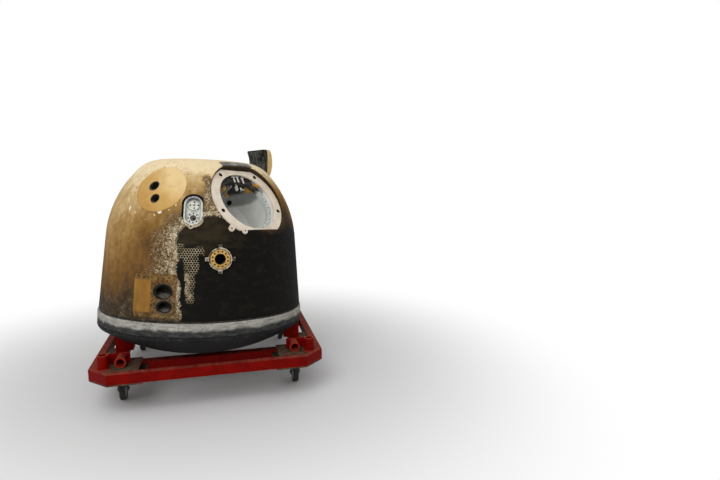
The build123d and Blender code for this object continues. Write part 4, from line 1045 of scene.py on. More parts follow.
# Plain finishes: the noise behind the colour, its colours, the roughness or its two ends over that
# noise, metallic, specular, and the noise and height of the bump
PLAIN = {
    # Dark bond and burnt seal
    "dark_bond": ((0.02, 4.0), ((0.35, (0.012, 0.010, 0.009)), (0.7, (0.06, 0.05, 0.04))),
                  0.85, 0.0, 0.3, (0.005, 3.0), 0.001),
    # The strap over the bay: grey metal, smoked brown in patches
    "smoked_metal": ((0.05, 5.0, 0.7), ((0.32, (0.060, 0.054, 0.050)), (0.52, (0.20, 0.195, 0.185)),
                     (0.70, (0.42, 0.41, 0.385))), 0.6, 0.1, 0.3, (0.01, 3.0), 0.0004),
    # Machined silver parts with dull spots
    "silver_metal": ((0.018, 4.0, 0.65), ((0.32, (0.22, 0.22, 0.20)), (0.60, (0.50, 0.50, 0.46))),
                     (0.60, 0.36), 0.5, 0.5, (0.003, 3.0, 0.6), 0.0002),
    # Gold anodised ring with darker patches
    "gold_metal": ((0.012, 4.0, 0.7), ((0.32, (0.30, 0.15, 0.030)), (0.50, (0.54, 0.32, 0.080)),
                   (0.70, (0.70, 0.46, 0.16))), (0.65, 0.42), 0.35, 0.5, (0.004, 3.0), 0.0003),
    # Black rubber pads, dusty
    "pad_rubber": ((0.02, 5.0, 0.7), ((0.35, (0.014,) * 3), (0.7, (0.07, 0.065, 0.06))),
                   0.8, 0.0, 0.15, (0.005, 4.0), 0.0006),
    # Dull zinc plate with dirt, cast hub and black tyre greyed by dust
    "caster_steel": ((0.018, 5.0, 0.7), ((0.32, (0.05, 0.046, 0.042)), (0.55, (0.17, 0.17, 0.168)),
                     (0.75, (0.34, 0.34, 0.33))), (0.7, 0.36), 0.75, 0.5, (0.004, 3.0), 0.0003),
    "caster_hub": ((0.012, 5.0, 0.7), ((0.32, (0.16, 0.155, 0.15)), (0.6, (0.50, 0.50, 0.49))),
                   (0.7, 0.42), 0.6, 0.5, (0.003, 3.0), 0.0004),
    "caster_tyre": ((0.015, 5.0, 0.7), ((0.35, (0.012,) * 3), (0.7, (0.06, 0.056, 0.05))),
                    0.75, 0.0, 0.12, (0.003, 3.0), 0.0004),
    # Amber tape, glossy
    "orange_tape": ((0.01, 3.0), ((0.36, (0.34, 0.120, 0.008)), (0.50, (0.74, 0.32, 0.016)),
                    (0.66, (0.92, 0.52, 0.070))), 0.3, 0.0, 0.5, (0.006, 3.0), 0.0006),
    # Dark brownish grey of the lower plug's middle
    "socket_brown": ((0.006,), ((0.4, (0.060, 0.046, 0.042)), (0.7, (0.125, 0.105, 0.100))),
                     0.8, 0.0, 0.15, None, 0.0),
    # Bright screws and pins
    "screw_white": ((0.006, 3.0, 0.7), ((0.34, (0.38, 0.36, 0.31)), (0.60, (0.76, 0.74, 0.68))),
                    0.5, 0.1, 0.4, None, 0.0),
    # The cream skirt below the connector, stained tan
    "stained_cream": ((0.012, 4.0, 0.75), ((0.34, (0.20, 0.14, 0.075)), (0.50, (0.44, 0.35, 0.23)),
                      (0.66, (0.62, 0.53, 0.40))), 0.8, 0.0, 0.15, (0.006, 4.0, 0.7), 0.0008),
    # Dark grey painted shade in the connector's grooves and steps
    "groove_shade_grey": ((0.004,), ((0.4, (0.13, 0.13, 0.125)), (0.7, (0.24, 0.24, 0.23))),
                    0.8, 0.0, 0.15, None, 0.0),
    # Rubbed edge of the red sleeves, bright orange red with painted highlight and here and there bare
    "bare_edge_highlight": ((0.008, 4.0, 0.7), ((0.36, (0.17, 0.008, 0.003)), (0.56, (0.34, 0.032, 0.012)),
                  (0.74, (0.46, 0.20, 0.09))), 0.6, 0.0, 0.15, (0.008, 4.0, 0.7), 0.0003),
    # Black painted shade for empty sockets, holes, the port, the gap between the bay's lugs and the shadow
    # round the connector
    "painted_shade_black": ((0.004,), ((0.4, (0.004, 0.0035, 0.003)), (0.7, (0.014, 0.011, 0.008))),
                   0.9, 0.0, 0.05, None, 0.0),
}


def plain_finish(f, noise, stops, roughness, metallic, specular, bump, height):
    """A finish with one noise behind its colour."""
    value = f.noise(*noise)
    if isinstance(roughness, tuple):
        roughness = f.grey(value, *roughness)
    return f.done(f.blend(value, *stops), roughness, metallic, specular, bump and (f.noise(*bump), height))


for finish_name, row in PLAIN.items():
    MATERIALS[finish_name] = plain_finish(Finish(finish_name), *row)


# Nodes whose finish differs from that of their slot
NODE_FINISHES = {
    "bay_can": "bay_metal_painted_light",
    "bay_strap": "smoked_metal",
    "connector_rim": "connector_rim",
    "connector_upper_plug": "connector_metal",
    "connector_lower_plug": "connector_metal",
    "hatch_cover_tile": "hatch_tile",
    "hatch_cover_panel": "dark_panel",
    "saddle_pads": "red_paint",
    "vent_flange": "charred_flange",
    "corner_plates": "floor_plate",
    "corner_soles": "floor_plate",
}


def finish_nodes():
    """Give each node of the frame its finish."""
    for part in frame["record"]["subparts"]:
        mesh = frame["nodes"][part["node"]].data
        mesh.materials.clear()
        mesh.materials.append(MATERIALS[NODE_FINISHES.get(part["node"], part["material_slot"])])


# Meshes and pieces
def shown(name, data):
    """A new object of the scene."""
    obj = bpy.data.objects.new(name, data)
    bpy.context.scene.collection.objects.link(obj)
    return obj


def piece(name, mesh, slot, body="root", stands_for=(), material=None):
    """Make a mesh a piece of the scene, in its finish and on its body."""
    obj = shown(name, mesh)
    mesh.materials.clear()
    mesh.materials.append(MATERIALS[material or slot])
    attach(obj, body)
    if stands_for:
        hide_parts(*stands_for)


def mesh_from(name, bm):
    """A mesh from a bmesh, which ends."""
    mesh = bpy.data.meshes.new(name)
    bm.to_mesh(mesh)
    bm.free()
    return mesh


@contextmanager
def small_parts(name, slot, body="root", stands_for=(), material=None):
    """A bmesh to build in, which then becomes a piece, smooth except at its sharp edges."""
    bm = bmesh.new()
    yield bm
    bmesh.ops.recalc_face_normals(bm, faces=bm.faces)
    mesh = mesh_from(name, bm)
    mesh.shade_smooth()
    mesh.set_sharp_from_angle(angle=radians(SHARP_ANGLE))
    piece(name, mesh, slot, body, stands_for, material)


def remeshed(name, bm, voxel):
    """A bmesh of closed solids as one evenly meshed skin."""
    bmesh.ops.remove_doubles(bm, verts=bm.verts, dist=1e-6)
    holder = shown(name + "_work", mesh_from(name, bm))
    modifier = holder.modifiers.new("even", "REMESH")
    modifier.mode = "VOXEL"
    modifier.voxel_size = voxel
    modifier.use_smooth_shade = True
    graph = bpy.context.evaluated_depsgraph_get()
    result = bpy.data.meshes.new_from_object(holder.evaluated_get(graph))
    bpy.data.objects.remove(holder)
    return result


def rows_of(mesh, name="co"):
    """The places or the normals of a mesh's points as rows."""
    flat = np.empty(len(mesh.vertices) * 3)
    mesh.vertices.foreach_get(name, flat)
    return flat.reshape(-1, 3)


def places_of(bm):
    """The places of a bmesh's points as rows."""
    return np.array([vert.co for vert in bm.verts])


def set_points(mesh, points):
    """Move a mesh's points."""
    mesh.vertices.foreach_set("co", points.ravel())
    mesh.update()


def set_mask(mesh, name, values):
    """Store one number for each point."""
    mesh.attributes.new(name, "FLOAT", "POINT").data.foreach_set("value", values.astype(np.float32))


def set_shell(mesh, points):
    """Store each point's place on an unrolled shell, once as a ring and once as a flat sheet."""
    azimuth, _, run, _, _ = on_shell(points)
    around = np.radians(azimuth)
    ring = np.stack([CONE_FOOT_R * np.sin(around), -CONE_FOOT_R * np.cos(around), run], 1)
    sheet = np.stack([np.radians(folded(azimuth)) * ARC_R, run, 0 * run], 1)
    for name, values in (("shell", ring), ("plane", sheet)):
        attribute = mesh.attributes.new(name, "FLOAT_VECTOR", "POINT")
        attribute.data.foreach_set("vector", values.astype(np.float32).ravel())


def snap(points, near, far):
    """Move points that lie nearer to the outer shape onto it, and tell where all of them were."""
    places = on_shell(points)
    depth, direction = places[3:]
    points += direction * (depth * (1 - smooth(near, far, np.abs(depth))))[:, None]
    return places


def joined_shell():
    """The cone and the nose as one evenly meshed skin, without the faces hidden inside."""
    bm = bmesh.new()
    for node in ("cone_section", "nose_section"):
        source = frame["nodes"][node].data.copy()
        points = rows_of(source)
        lowered = np.abs(to_capsule(points)[:, 2] - SPLIT_U - SPLIT_GAP) < SPLIT_GAP / 2
        points[lowered] -= TURN[:, 2] * 2 * SPLIT_GAP
        set_points(source, points)
        bm.from_mesh(source)
        bpy.data.meshes.remove(source)
    mesh = remeshed("ablator", bm, VOXEL)
    bm = bmesh.new()
    bm.from_mesh(mesh)
    bpy.data.meshes.remove(mesh)
    points = places_of(bm)
    depth = on_shell(points)[3]
    bay = in_frame(points, BAY)
    in_bay = (np.abs(bay[:, 0]) < BAY_HALF_X) & (np.abs(bay[:, 1]) < BAY_HALF_Y)
    behind_flange = (bay[:, 2] < -BAY_FLANGE_THICK - BAY_CLEAR) & (depth > BAY_HIDDEN_DEPTH)
    hidden = np.where(in_bay, behind_flange, depth > HIDDEN_DEPTH)
    bm.verts.index_update()
    drop = [face for face in bm.faces if all(hidden[vert.index] for vert in face.verts)]
    bmesh.ops.delete(bm, geom=drop, context="FACES")
    return bm


def refine(bm):
    """Cut faces finer where the crust, the comb and the char's edge show."""
    points = places_of(bm)
    azimuth, u, _, depth, _ = on_shell(points)
    masks, _ = shell_masks(points)
    fine = (masks["crust"] > 0.15) & (masks["edge"] > -0.02) | (np.abs(masks["edge"]) < 0.012)
    fine |= masks["comb"] > 0.05
    for values, (low, high) in ((azimuth, FINE_AZIMUTHS), (u, FINE_HEIGHTS), (depth, FINE_DEPTHS)):
        fine &= (values > low) & (values < high)
    bm.verts.index_update()
    edges = [edge for edge in bm.edges if fine[edge.verts[0].index] and fine[edge.verts[1].index]]
    bmesh.ops.subdivide_edges(bm, edges=edges, cuts=1, use_grid_fill=True)


def ablator():
    """The cone and the nose as one charred skin, cut into two pieces where the sections meet."""
    bm = joined_shell()
    refine(bm)
    points = places_of(bm)
    azimuth, u, run, depth, direction = snap(points, *SNAP)
    masks, relief = shell_masks(points)
    outer = 1 - smooth(*RELIEF_FADE, depth)
    points += direction * (relief * outer)[:, None]
    warm = smooth(0.72, 0.88, u) * smooth(-24, -2, azimuth) * smooth(34, 14, azimuth)
    warm *= smooth(0.10, 0.34, NOSE_RUN - run)
    # Points below the outer shape are marked inside, where the tile turns to painted shade
    masks.update(warm=0.8 * warm * outer, inside=1 - outer)
    for vert, place in zip(bm.verts, points):
        vert.co = place
    # Both pieces keep the normals of the whole skin, so that no seam shows
    whole = bpy.data.meshes.new("ablator_whole")
    bm.to_mesh(whole)
    normals = rows_of(whole, "normal")
    bpy.data.meshes.remove(whole)
    layer = bm.verts.layers.int.new("whole_index")
    for vert in bm.verts:
        vert[layer] = vert.index
    middle = np.array([face.calc_center_median() for face in bm.faces])
    low = to_capsule(middle)[:, 2] < SPLIT_U
    for name, keep, node in (("ablator_cone", low, "cone_section"), ("ablator_nose", ~low, "nose_section")):
        part = bm.copy()
        drop = [face for face, kept in zip(part.faces, keep) if not kept]
        bmesh.ops.delete(part, geom=drop, context="FACES")
        mesh = mesh_from(name, part)
        index = np.empty(len(mesh.vertices), np.int32)
        mesh.attributes["whole_index"].data.foreach_get("value", index)
        mesh.attributes.remove(mesh.attributes["whole_index"])
        mesh.shade_smooth()
        mesh.normals_split_custom_set_from_vertices(normals[index].tolist())
        for mask, values in masks.items():
            set_mask(mesh, mask, values[index])
        set_shell(mesh, points[index])
        piece(name, mesh, "char_tile", stands_for=(node,))
    bm.free()


def inlay(name, node, holes, dress, material):
    """An inlaid tile's remeshed skin, with the masks and the added relief that dress gives it."""
    bm = bmesh.new()
    bm.from_mesh(frame["nodes"][node].data)
    mesh = remeshed(name, bm, INLAY_VOXEL)
    points = rows_of(mesh)
    azimuth, u, _, depth, direction = snap(points, *INLAY_SNAP)
    side = folded(azimuth)
    # The tile's sides move out over its seam, except round the holes in it
    normals = rows_of(mesh, "normal")
    sideways = normals - direction * np.sum(normals * direction, axis=1)[:, None]
    away = np.full(len(points), 1.0)
    for hole in holes:
        away = np.minimum(away, spacing(side, u, hole))
    points += sideways * (SEAM_COVER * smooth(HOLE_KEEP, HOLE_KEEP + HOLE_FADE, away))[:, None]
    masks, added = dress(points, side, u)
    relief = (cloud(points, 0.05, 3, 21) - 0.5) * 0.0006 - 0.0003 + added
    points += direction * (relief * (1 - smooth(*INLAY_FADE, depth)))[:, None]
    set_points(mesh, points)
    for mask, values in masks.items():
        set_mask(mesh, mask, np.clip(values, 0, 1))
    mesh.shade_smooth()
    piece(name, mesh, "smooth_tile", stands_for=(node,), material=material)


def patch_dress(_, side, u):
    """The smooth round tiles round the upper nozzles, lighter up and to the right."""
    across = np.radians(side - PATCH[0]) * ARC_R / PATCH_R
    return {"tone": 0.55 + 0.28 * across + 0.42 * (u - PATCH[1]) / PATCH_R}, 0.0


def panel_dress(points, side, u):
    """The low panels: an orange strip at one side and worn, pitted tile round the cavities."""
    strip = smooth(PANEL_STRIP[0] - 0.2, PANEL_STRIP[0] + 0.2, side)
    strip *= smooth(PANEL_STRIP[1] + 0.25, PANEL_STRIP[1] - 0.05, side) * smooth(0.072, 0.080, u)
    upper = smooth(PANEL_STRIP_TOP - 0.002, PANEL_STRIP_TOP + 0.002, u)
    plain = upper * smooth(-18.0, -24.0, side + (cloud(points, 0.03, 3, 27) - 0.5) * 8)
    strip *= 1 - upper
    pit_zone = (1 - strip) * smooth(-23.0, -25.0, side) * smooth(0.17, 0.20, u)
    pits = spots(points, 0.010, 0.30, 22) * pit_zone + spots(points, 0.012, 0.06, 23) * (1 - strip)
    pits = np.maximum(pits, 1 - smooth(0.005, 0.007, spacing(side, u, PANEL_HOLE)))
    soot = np.zeros(len(points))
    for cavity in PANEL_CAVITIES:
        near = smooth(0.062, 0.034, spacing(side, u, cavity))
        soot = np.maximum(soot, near * (0.35 + cloud(points, 0.02, 3, 25)))
    worn = cloud(points, 0.012, 3, 26) - 0.5
    added = (1 - strip) * (0.0030 * worn - 0.0022) * (1 - 0.7 * plain) - 0.0025 * pits
    low_side = smooth(0.175, 0.120, u) * smooth(-25.0, -20.5, side)
    speckled = np.maximum(low_side, smooth(-17.0, -13.5, side)) * 0.85 + 0.15
    masks = {"strip": strip, "pits": pits, "soot": soot * (1 - strip), "plain": plain, "speckled": speckled}
    return masks, added


def rim_band():
    """The shield's rim, chipped and worn, as one turned skin over the rim's solid."""
    low = RIM_BOTTOM_U + 0.0003
    first = low + 0.004
    # Radius drop and height of each line of points up the band
    rows = [(RIM_INWARD, low), (0.030, low), (0.0, low), (0.0, first)]
    rows += [(0.0, first + (RIM_TOP_U - low - 0.008) * k / 14) for k in range(1, 15)]
    rows += [(0.0, RIM_TOP_U), (0.010, RIM_TOP_U), (RIM_INWARD, RIM_TOP_U)]
    drop, height = (np.repeat(column, RIM_STEPS) for column in zip(*rows))
    around = np.tile(np.linspace(0, 2 * pi, RIM_STEPS, endpoint=False), len(rows))
    local = np.stack([(RIM_R - drop) * np.sin(around), -(RIM_R - drop) * np.cos(around), height], 1)
    points = (local - (0, 0, DISH_CENTRE_U)) @ TURN.T + SEAT
    wear = cloud(points, 0.03, 4, 31) * 0.0030 + smooth(0.60, 0.72, cloud(points, 0.016, 2, 32)) * 0.0028
    edge = (drop == 0.0) & ((height < low + 0.001) | (height > RIM_TOP_U - 0.001))
    wear += edge * (0.002 + 0.004 * cloud(points, 0.012, 2, 33))
    direction = np.stack([np.sin(around), -np.cos(around), 0 * around], 1) @ TURN.T
    points -= direction * (wear * (drop < 0.005))[:, None]
    faces = []
    for start in range(0, len(points) - RIM_STEPS, RIM_STEPS):
        for k in range(RIM_STEPS):
            near, after = start + k, start + (k + 1) % RIM_STEPS
            faces.append((near, after, after + RIM_STEPS, near + RIM_STEPS))
    mesh = bpy.data.meshes.new("rim_band")
    mesh.from_pydata(points.tolist(), [], faces)
    mesh.update()
    mesh.shade_smooth()
    mesh.set_sharp_from_angle(angle=radians(RIM_SHARP_ANGLE))
    # Below a ragged height the band gets painted shade
    above = height - low + (cloud(points, 0.05, 4, 34) - 0.5) * 0.026
    set_mask(mesh, "lower", 1 - smooth(RIM_UNSHADED_FROM - 0.012, RIM_UNSHADED_FROM + 0.010, above))
    piece("rim_band", mesh, "shield_rim", stands_for=("heat_shield_rim",))


# Small shapes
def shift(x, y, z=0.0):
    """A move as a matrix."""
    return Matrix.Translation((x, y, z))


def turn_about(axis, angle):
    """A turn about x, y or z as a matrix."""
    return Matrix.Rotation(radians(angle), 4, axis)


def spoke(matrix, angle, radius, z=0.0):
    """A frame turned about its z, then moved out along the turned x and up."""
    return matrix @ turn_about("Z", angle) @ shift(radius, 0, z)


def row_of(bm, matrix, places, z):
    """Points of a plane drawing, added at one height of a frame."""
    return [bm.verts.new(matrix @ Vector((x, y, z))) for x, y in places]


def circle(radius, steps):
    """Points round a circle, or its middle where the radius is 0."""
    return [polar(radius, 360 * k / steps) for k in range(steps if radius else 1)]


def oblong(radius, steps=16):
    """Points round an upright oblong with the connector's middles and a radius."""
    top = [polar(radius, 180 * k / steps, (0, CONNECTOR_REACH)) for k in range(steps + 1)]
    return top + [(-x, -y) for x, y in top]


def skin(bm, rows, around=True):
    """Faces between each row of points and the next; rows that go around end where they start."""
    for near, far in zip(rows, rows[1:]):
        count = max(len(near), len(far))
        for k in range(count if around else count - 1):
            after = (k + 1) % count
            corners = near[k % len(near)], near[after % len(near)], far[after % len(far)], far[k % len(far)]
            bm.faces.new(dict.fromkeys(corners))


def turned(bm, profile, matrix, steps=24, wide=1.0, tall=1.0):
    """Add a closed turned shape: its profile is rows of radius and height, up the axis z."""
    rings = [row_of(bm, matrix, circle(radius * wide, steps), height * tall) for radius, height in profile]
    skin(bm, rings)
    for end in (rings[0], rings[-1]):
        if len(end) > 2:
            bm.faces.new(end)


def drum(bm, matrix, radius, low, high, steps):
    """Add a short cylinder round the axis z."""
    turned(bm, [(0, low), (radius, low), (radius, high), (0, high)], matrix, steps)


def disc(bm, matrix, radius, steps=16):
    """Add a thin disc with z = 0 in its middle."""
    drum(bm, matrix, radius, -DISC_HALF, DISC_HALF, steps)


def block(bm, x, y, z, matrix, bevel=0.0):
    """Add a box given by its three ranges, with its edges eased."""
    corners = [bm.verts.new(matrix @ Vector(corner)) for corner in product(x, y, z)]
    faces = [(0, 1, 3, 2), (4, 6, 7, 5), (0, 4, 5, 1), (2, 3, 7, 6), (0, 2, 6, 4), (1, 5, 7, 3)]
    made = [bm.faces.new([corners[k] for k in face]) for face in faces]
    if bevel:
        edges = dict.fromkeys(edge for face in made for edge in face.edges)
        bmesh.ops.bevel(bm, geom=list(edges), offset=bevel, segments=2, affect="EDGES")


def washer(bm, matrix, outer_r, inner_r, low, high, steps=24):
    """Add a flat ring round the axis z."""
    profile = ((inner_r, low), (outer_r, low), (outer_r, high), (inner_r, high))
    rings = [row_of(bm, matrix, circle(radius, steps), z) for radius, z in profile]
    skin(bm, rings + rings[:1])


def hex_bolt(bm, matrix, radius, height):
    """Add a washer and a hexagon head with a chamfered top."""
    drum(bm, matrix, radius * 1.35, -height, height * 0.2, 20)
    turned(bm, HEX_HEAD, matrix, 6, radius, height)


def oblong_line(bm, matrix, radius, line, z):
    """Add a thin line round an upright oblong."""
    low, high = z - LINE_HALF, z + LINE_HALF
    profile = ((radius, low), (radius, high), (radius - line, high), (radius - line, low))
    rows = [row_of(bm, matrix, oblong(at), height) for at, height in profile]
    skin(bm, rows + rows[:1])


def oblong_band(bm, matrix, outer, first, last, high, steps=72):
    """Add a raised band round part of the connector, tapered to nothing at both ends."""
    rows = [[], [], [], []]
    for k in range(steps + 1):
        angle = first + (last - first) * k / steps
        middle = (0, CONNECTOR_REACH if sin(radians(angle)) > 0 else -CONNECTOR_REACH)
        width = (outer - RIM_SILVER_R) * min(1.0, 8 * min(k, steps - k) / steps) + 0.0003
        radii = (RIM_SILVER_R, RIM_SILVER_R, RIM_SILVER_R + width, RIM_SILVER_R + width)
        for row, radius, z in zip(rows, radii, (BAND_FOOT, high, high, BAND_FOOT)):
            row += row_of(bm, matrix, [polar(radius, angle, middle)], z)
    skin(bm, rows + rows[:1], around=False)
    for k in (0, steps):
        bm.faces.new([row[k] for row in rows])


# Fittings
def connector_trim():
    """The connector's plate and its lines of painted shade, its plugs' faces and sockets in black painted
    shade, its band of black painted shadow and its skirt.
    """
    place = station(*CONNECTOR)
    lower = place @ shift(0, *LOWER_PLUG)
    with small_parts("connector_face", "silver_metal", stands_for=("connector_plate",),
                     material="connector_metal") as bm:
        outline = oblong(CONNECTOR_WIDTH / 2 - SKIN_GAP, 24)
        sides = [row_of(bm, place, outline, z) for z in CONNECTOR_FACE]
        for side in sides:
            bm.faces.new(side)
        skin(bm, sides)
    # Dark grey lines of painted shade in the plate's steps and round the plugs
    with small_parts("connector_lines", "dark_metal", material="groove_shade_grey") as bm:
        for inset, line in CONNECTOR_LINES:
            oblong_line(bm, place, CONNECTOR_WIDTH / 2 - inset, line, CONNECTOR_FACE[1])
        for up, outer_r, inner_r, z in PLUG_RINGS:
            washer(bm, place @ shift(0, up, z), outer_r, inner_r, -LINE_HALF, LINE_HALF)
    with small_parts("connector_pin_field", "dark_metal", material="socket_brown") as bm:
        disc(bm, lower @ shift(0, 0, 0.0004), PIN_FIELD_R, steps=32)
    with small_parts("connector_plug_face", "silver_metal", material="connector_metal") as bm:
        disc(bm, place @ shift(0, *UPPER_PLUG), PLUG_FACE_R, steps=40)
    # The sockets are black discs of painted shade
    with small_parts("connector_sockets", "dark_metal", material="painted_shade_black") as bm:
        for x, y, wide, tall in UPPER_SOCKETS:
            disc(bm, place @ shift(x, y, UPPER_PLUG[1] + 0.0006) @ Matrix.Diagonal((wide, tall, 1, 1)), 1.0)
        for angle in range(0, 360, 45):
            disc(bm, spoke(lower, angle, LOWER_SOCKET_CIRCLE_R), LOWER_SOCKET_R)
        disc(bm, lower @ shift(*KEY_SOCKET), KEY_SOCKET_R)
    # A black band of painted shadow round the rim's upper and left side
    with small_parts("connector_shadow_band", "dark_bond", material="painted_shade_black") as bm:
        oblong_band(bm, place, *CONNECTOR_SHADOW_BAND)
    with small_parts("connector_skirt", "cream_composite", material="stained_cream") as bm:
        oblong_band(bm, place, *CONNECTOR_SKIRT)
    with small_parts("connector_lug_mark", "dark_metal") as bm:
        disc(bm, place @ shift(*CONNECTOR_LUG_MARK), CONNECTOR_LUG_MARK_R)


def vent_trim():
    """Dark surrounds of the ring's twelve holes, and a hole mark on each lug."""
    place = station(*VENT)
    with small_parts("vent_hole_marks", "dark_metal") as bm:
        for k in range(VENT_BOLTS):
            spot = spoke(place, 360 * (k + 0.5) / VENT_BOLTS, VENT_BOLT_R, -0.002)
            washer(bm, spot, *VENT_MARK, steps=12)
        for k in range(4):
            drum(bm, spoke(place, 90 * k, VENT_LUG_HOLE, 0.003), *VENT_LUG_MARK, steps=12)


def bay_trim():
    """What sits in the parachute bay: cups, ring, screws, T pins, bracket, tapes and a port; the cups, the
    ring's holes, the port and the gap between the bracket's lugs are black painted shade.
    """
    ring_top = BAY_RING_SPAN[1]
    # Black discs of painted shade in the flange's cups and lug holes
    with small_parts("bay_cups", "dark_metal", material="painted_shade_black") as bm:
        for angle in BAY_BOLT_ANGLES:
            disc(bm, spoke(BAY, angle, BAY_BOLT_CIRCLE_R, 0.0003), BAY_CUP_R, steps=24)
        for x, y in BAY_LUGS:
            disc(bm, BAY @ shift(x, y, 0.0002), BAY_LUG_HOLE_R)
    with small_parts("bay_ring_skin", "silver_metal", stands_for=("bay_fastener_ring",),
                     material="ring_metal_painted_shade") as bm:
        washer(bm, BAY, BAY_WALL_R - SKIN_GAP, BAY_RING_BORE_R, *BAY_RING_SPAN, steps=96)
    with small_parts("bay_fasteners", "silver_metal", material="screw_white") as bm:
        for k in range(BAY_RING_BOLTS):
            angle = 360 * k / BAY_RING_BOLTS
            if not 40 < angle < 215:
                turned(bm, SCREW, spoke(BAY, angle, BAY_RING_BOLT_R, ring_top), 12, *BAY_SCREW)
    # Black discs of painted shade in the ring's holes
    with small_parts("bay_ring_marks", "dark_metal", material="painted_shade_black") as bm:
        for k in range(BAY_RING_BOLTS):
            angle = 360 * (k + 0.5) / BAY_RING_BOLTS
            disc(bm, spoke(BAY, angle, BAY_RING_BOLT_R, ring_top), BAY_RING_MARK_R)
    with small_parts("bay_t_pins", "silver_metal", material="screw_white") as bm:
        for x in BAY_T_PINS:
            stem = BAY @ shift(x, sqrt(BAY_WALL_R ** 2 - x ** 2), BAY_T_PIN_Z) @ turn_about("X", 90)
            turned(bm, T_PIN_STEM, stem, steps=16)
            block(bm, *T_PIN_BAR, stem, bevel=0.001)
        for ranges in BAY_LUG_BLOCKS:
            block(bm, *ranges, BAY, bevel=0.003)
    with small_parts("bay_tapes", "gold_metal", material="orange_tape") as bm:
        for angle, depth, half_y, half_z, lean in BAY_TAPES:
            wall = spoke(BAY, angle, BAY_WALL_R, depth) @ turn_about("X", lean)
            block(bm, TAPE_LAYER, (-half_y, half_y), (-half_z, half_z), wall, bevel=0.0018)
        for x, y, z, radius, half in BAY_WRAPS:
            turned(bm, WRAP, BAY @ shift(x, y, z), 14, radius, half)
    # The port is a black disc of painted shade
    with small_parts("bay_port", "dark_metal", material="painted_shade_black") as bm:
        angle, depth, lean = BAY_PORT
        wall = spoke(BAY, angle, BAY_WALL_R - BAY_PORT_INSET, depth) @ turn_about("Y", lean)
        drum(bm, wall @ Matrix.Diagonal((*BAY_PORT_HALF, 1, 1)), 1, *BAY_PORT_SPAN, steps=24)
        # A black block of painted shade in the gap between the lugs
        block(bm, *BAY_LUG_GAP_SHADE, BAY)


def dolly_trim():
    """Sleeve rims worn and with painted highlight, weld beads, plate bolts and the casters' axle nuts."""
    dolly = shift(SEAT[0], SEAT[1])
    corners = list(product((-1, 1), repeat=2))
    # Bright rings at the sleeve and stub mouths: worn paint and painted highlight
    with small_parts("worn_rims_highlight", "red_paint", material="bare_edge_highlight") as bm:
        for side_x, side_y in corners:
            sleeve = dolly @ shift(side_x * SLEEVE[0], side_y * SLEEVE[1], SLEEVE_TOP)
            washer(bm, sleeve, SLEEVE_R, SLEEVE_BORE_R, *WORN_HIGHLIGHT_SPAN, steps=32)
            stub = dolly @ shift(side_x * STUB[0], side_y * STUB[1], STUB[2]) @ turn_about("X", 90 * side_y)
            washer(bm, stub, SLEEVE_R, STUB_BORE_R, *WORN_HIGHLIGHT_SPAN, steps=32)
    with small_parts("sleeve_welds", "red_paint") as bm:
        for side_x, side_y in corners:
            turned(bm, WELD, dolly @ shift(side_x * SLEEVE[0], side_y * SLEEVE[1], PLATE_TOP), steps=32)
    with small_parts("plate_bolts", "caster_steel", material="floor_plate") as bm:
        for (side_x, side_y), (x, y) in product(corners, PLATE_BOLTS):
            hex_bolt(bm, dolly @ shift(side_x * x, side_y * y, PLATE_TOP), *PLATE_BOLT)
    for name, side_x, side_y in CASTERS:
        axle = dolly @ shift(side_x * CASTER[0], side_y * CASTER[1] + CASTER_TRAIL, WHEEL_R)
        with small_parts("axle_nuts_" + name, "caster_steel", body="caster_" + name) as bm:
            for side in (-1, 1):
                hex_bolt(bm, axle @ turn_about("Y", 90 * side) @ shift(0, 0, FORK_OUT), *AXLE_NUT)


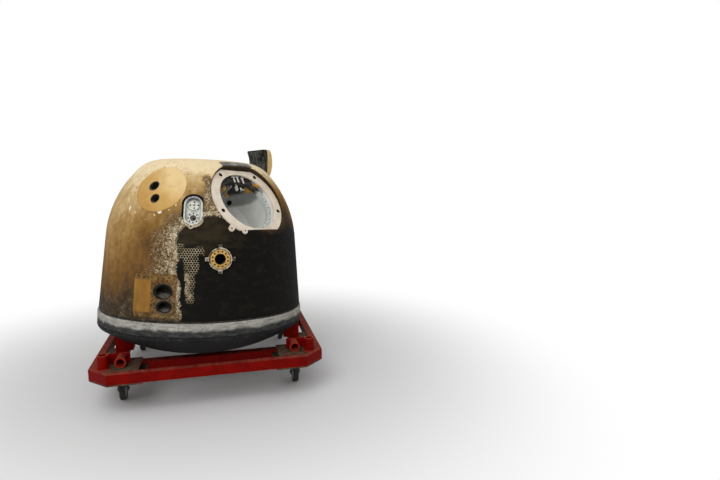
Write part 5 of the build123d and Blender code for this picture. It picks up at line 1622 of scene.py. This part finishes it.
def stage_and_camera():
    """The camera, the plain floor, the white surroundings and the soft lamp."""
    data = bpy.data.cameras.new("camera")
    data.sensor_width = SENSOR_WIDTH
    data.lens = CAMERA_LENS
    camera = shown("camera", data)
    camera.location = CAMERA_PLACE
    camera.rotation_euler = (radians(90 - CAMERA_DROP), 0, radians(-CAMERA_YAW))
    bpy.context.scene.camera = camera
    bpy.context.scene.view_settings.view_transform = "Standard"

    mesh = bpy.data.meshes.new("floor")
    corners = [(x * FLOOR_HALF, y * FLOOR_HALF, 0) for x, y in ((-1, -1), (1, -1), (1, 1), (-1, 1))]
    mesh.from_pydata(corners, [], [(0, 1, 2, 3)])
    floor = shown("floor", mesh)
    f = Finish("floor")
    f.done(FLOOR_GREY, 0.9, specular=0.2)
    # Away from the part the floor is seen as white as what is behind it
    away = f.step(f.vector("LENGTH", f.place(), output="Value"), *FLOOR_FADE)
    white = f.add("ShaderNodeEmission", {"Color": WHITE, "Strength": 1.0})
    covered = f.times(away, f.ray("Is Camera Ray"))
    mixed = f.add("ShaderNodeMixShader", {0: covered, 1: f.shader.outputs[0], 2: white})
    f.link(mixed, f.tree.nodes["Material Output"].inputs["Surface"])
    mesh.materials.append(f.material)

    # The world is white where it is seen, mirrored or seen through glass, and dimmer as a light
    world = bpy.data.worlds.new("world")
    world.use_nodes = True
    w = Nodes(world.node_tree)
    w.tree.nodes.clear()
    through = w.math("MAXIMUM", w.ray("Is Glossy Ray"), w.ray("Is Transmission Ray"))
    seen = w.math("MAXIMUM", w.ray("Is Camera Ray"), through)
    lit, white = (w.add("ShaderNodeBackground", {"Color": WHITE, "Strength": strength})
                  for strength in (WORLD_LIGHT, 1.0))
    mixed = w.add("ShaderNodeMixShader", {0: seen, 1: lit, 2: white})
    w.link(mixed, w.tree.nodes.new("ShaderNodeOutputWorld").inputs[0])
    bpy.context.scene.world = world

    lamp = bpy.data.lights.new("key", "AREA")
    lamp.size = KEY_SIZE
    lamp.energy = KEY_POWER
    key = shown("key", lamp)
    key.location = KEY_PLACE
    key.rotation_euler = (Vector(KEY_AIM) - Vector(KEY_PLACE)).to_track_quat("-Z", "Y").to_euler()


stage_and_camera()
finish_nodes()
ablator()
inlay("thruster_patch_skins", "thruster_patches", PATCH_HOLES, patch_dress, "smooth_tile")
inlay("thruster_panel_skins", "thruster_panels", PANEL_CAVITIES, panel_dress, "panel_tile")
rim_band()
connector_trim()
vent_trim()
bay_trim()
dolly_trim()

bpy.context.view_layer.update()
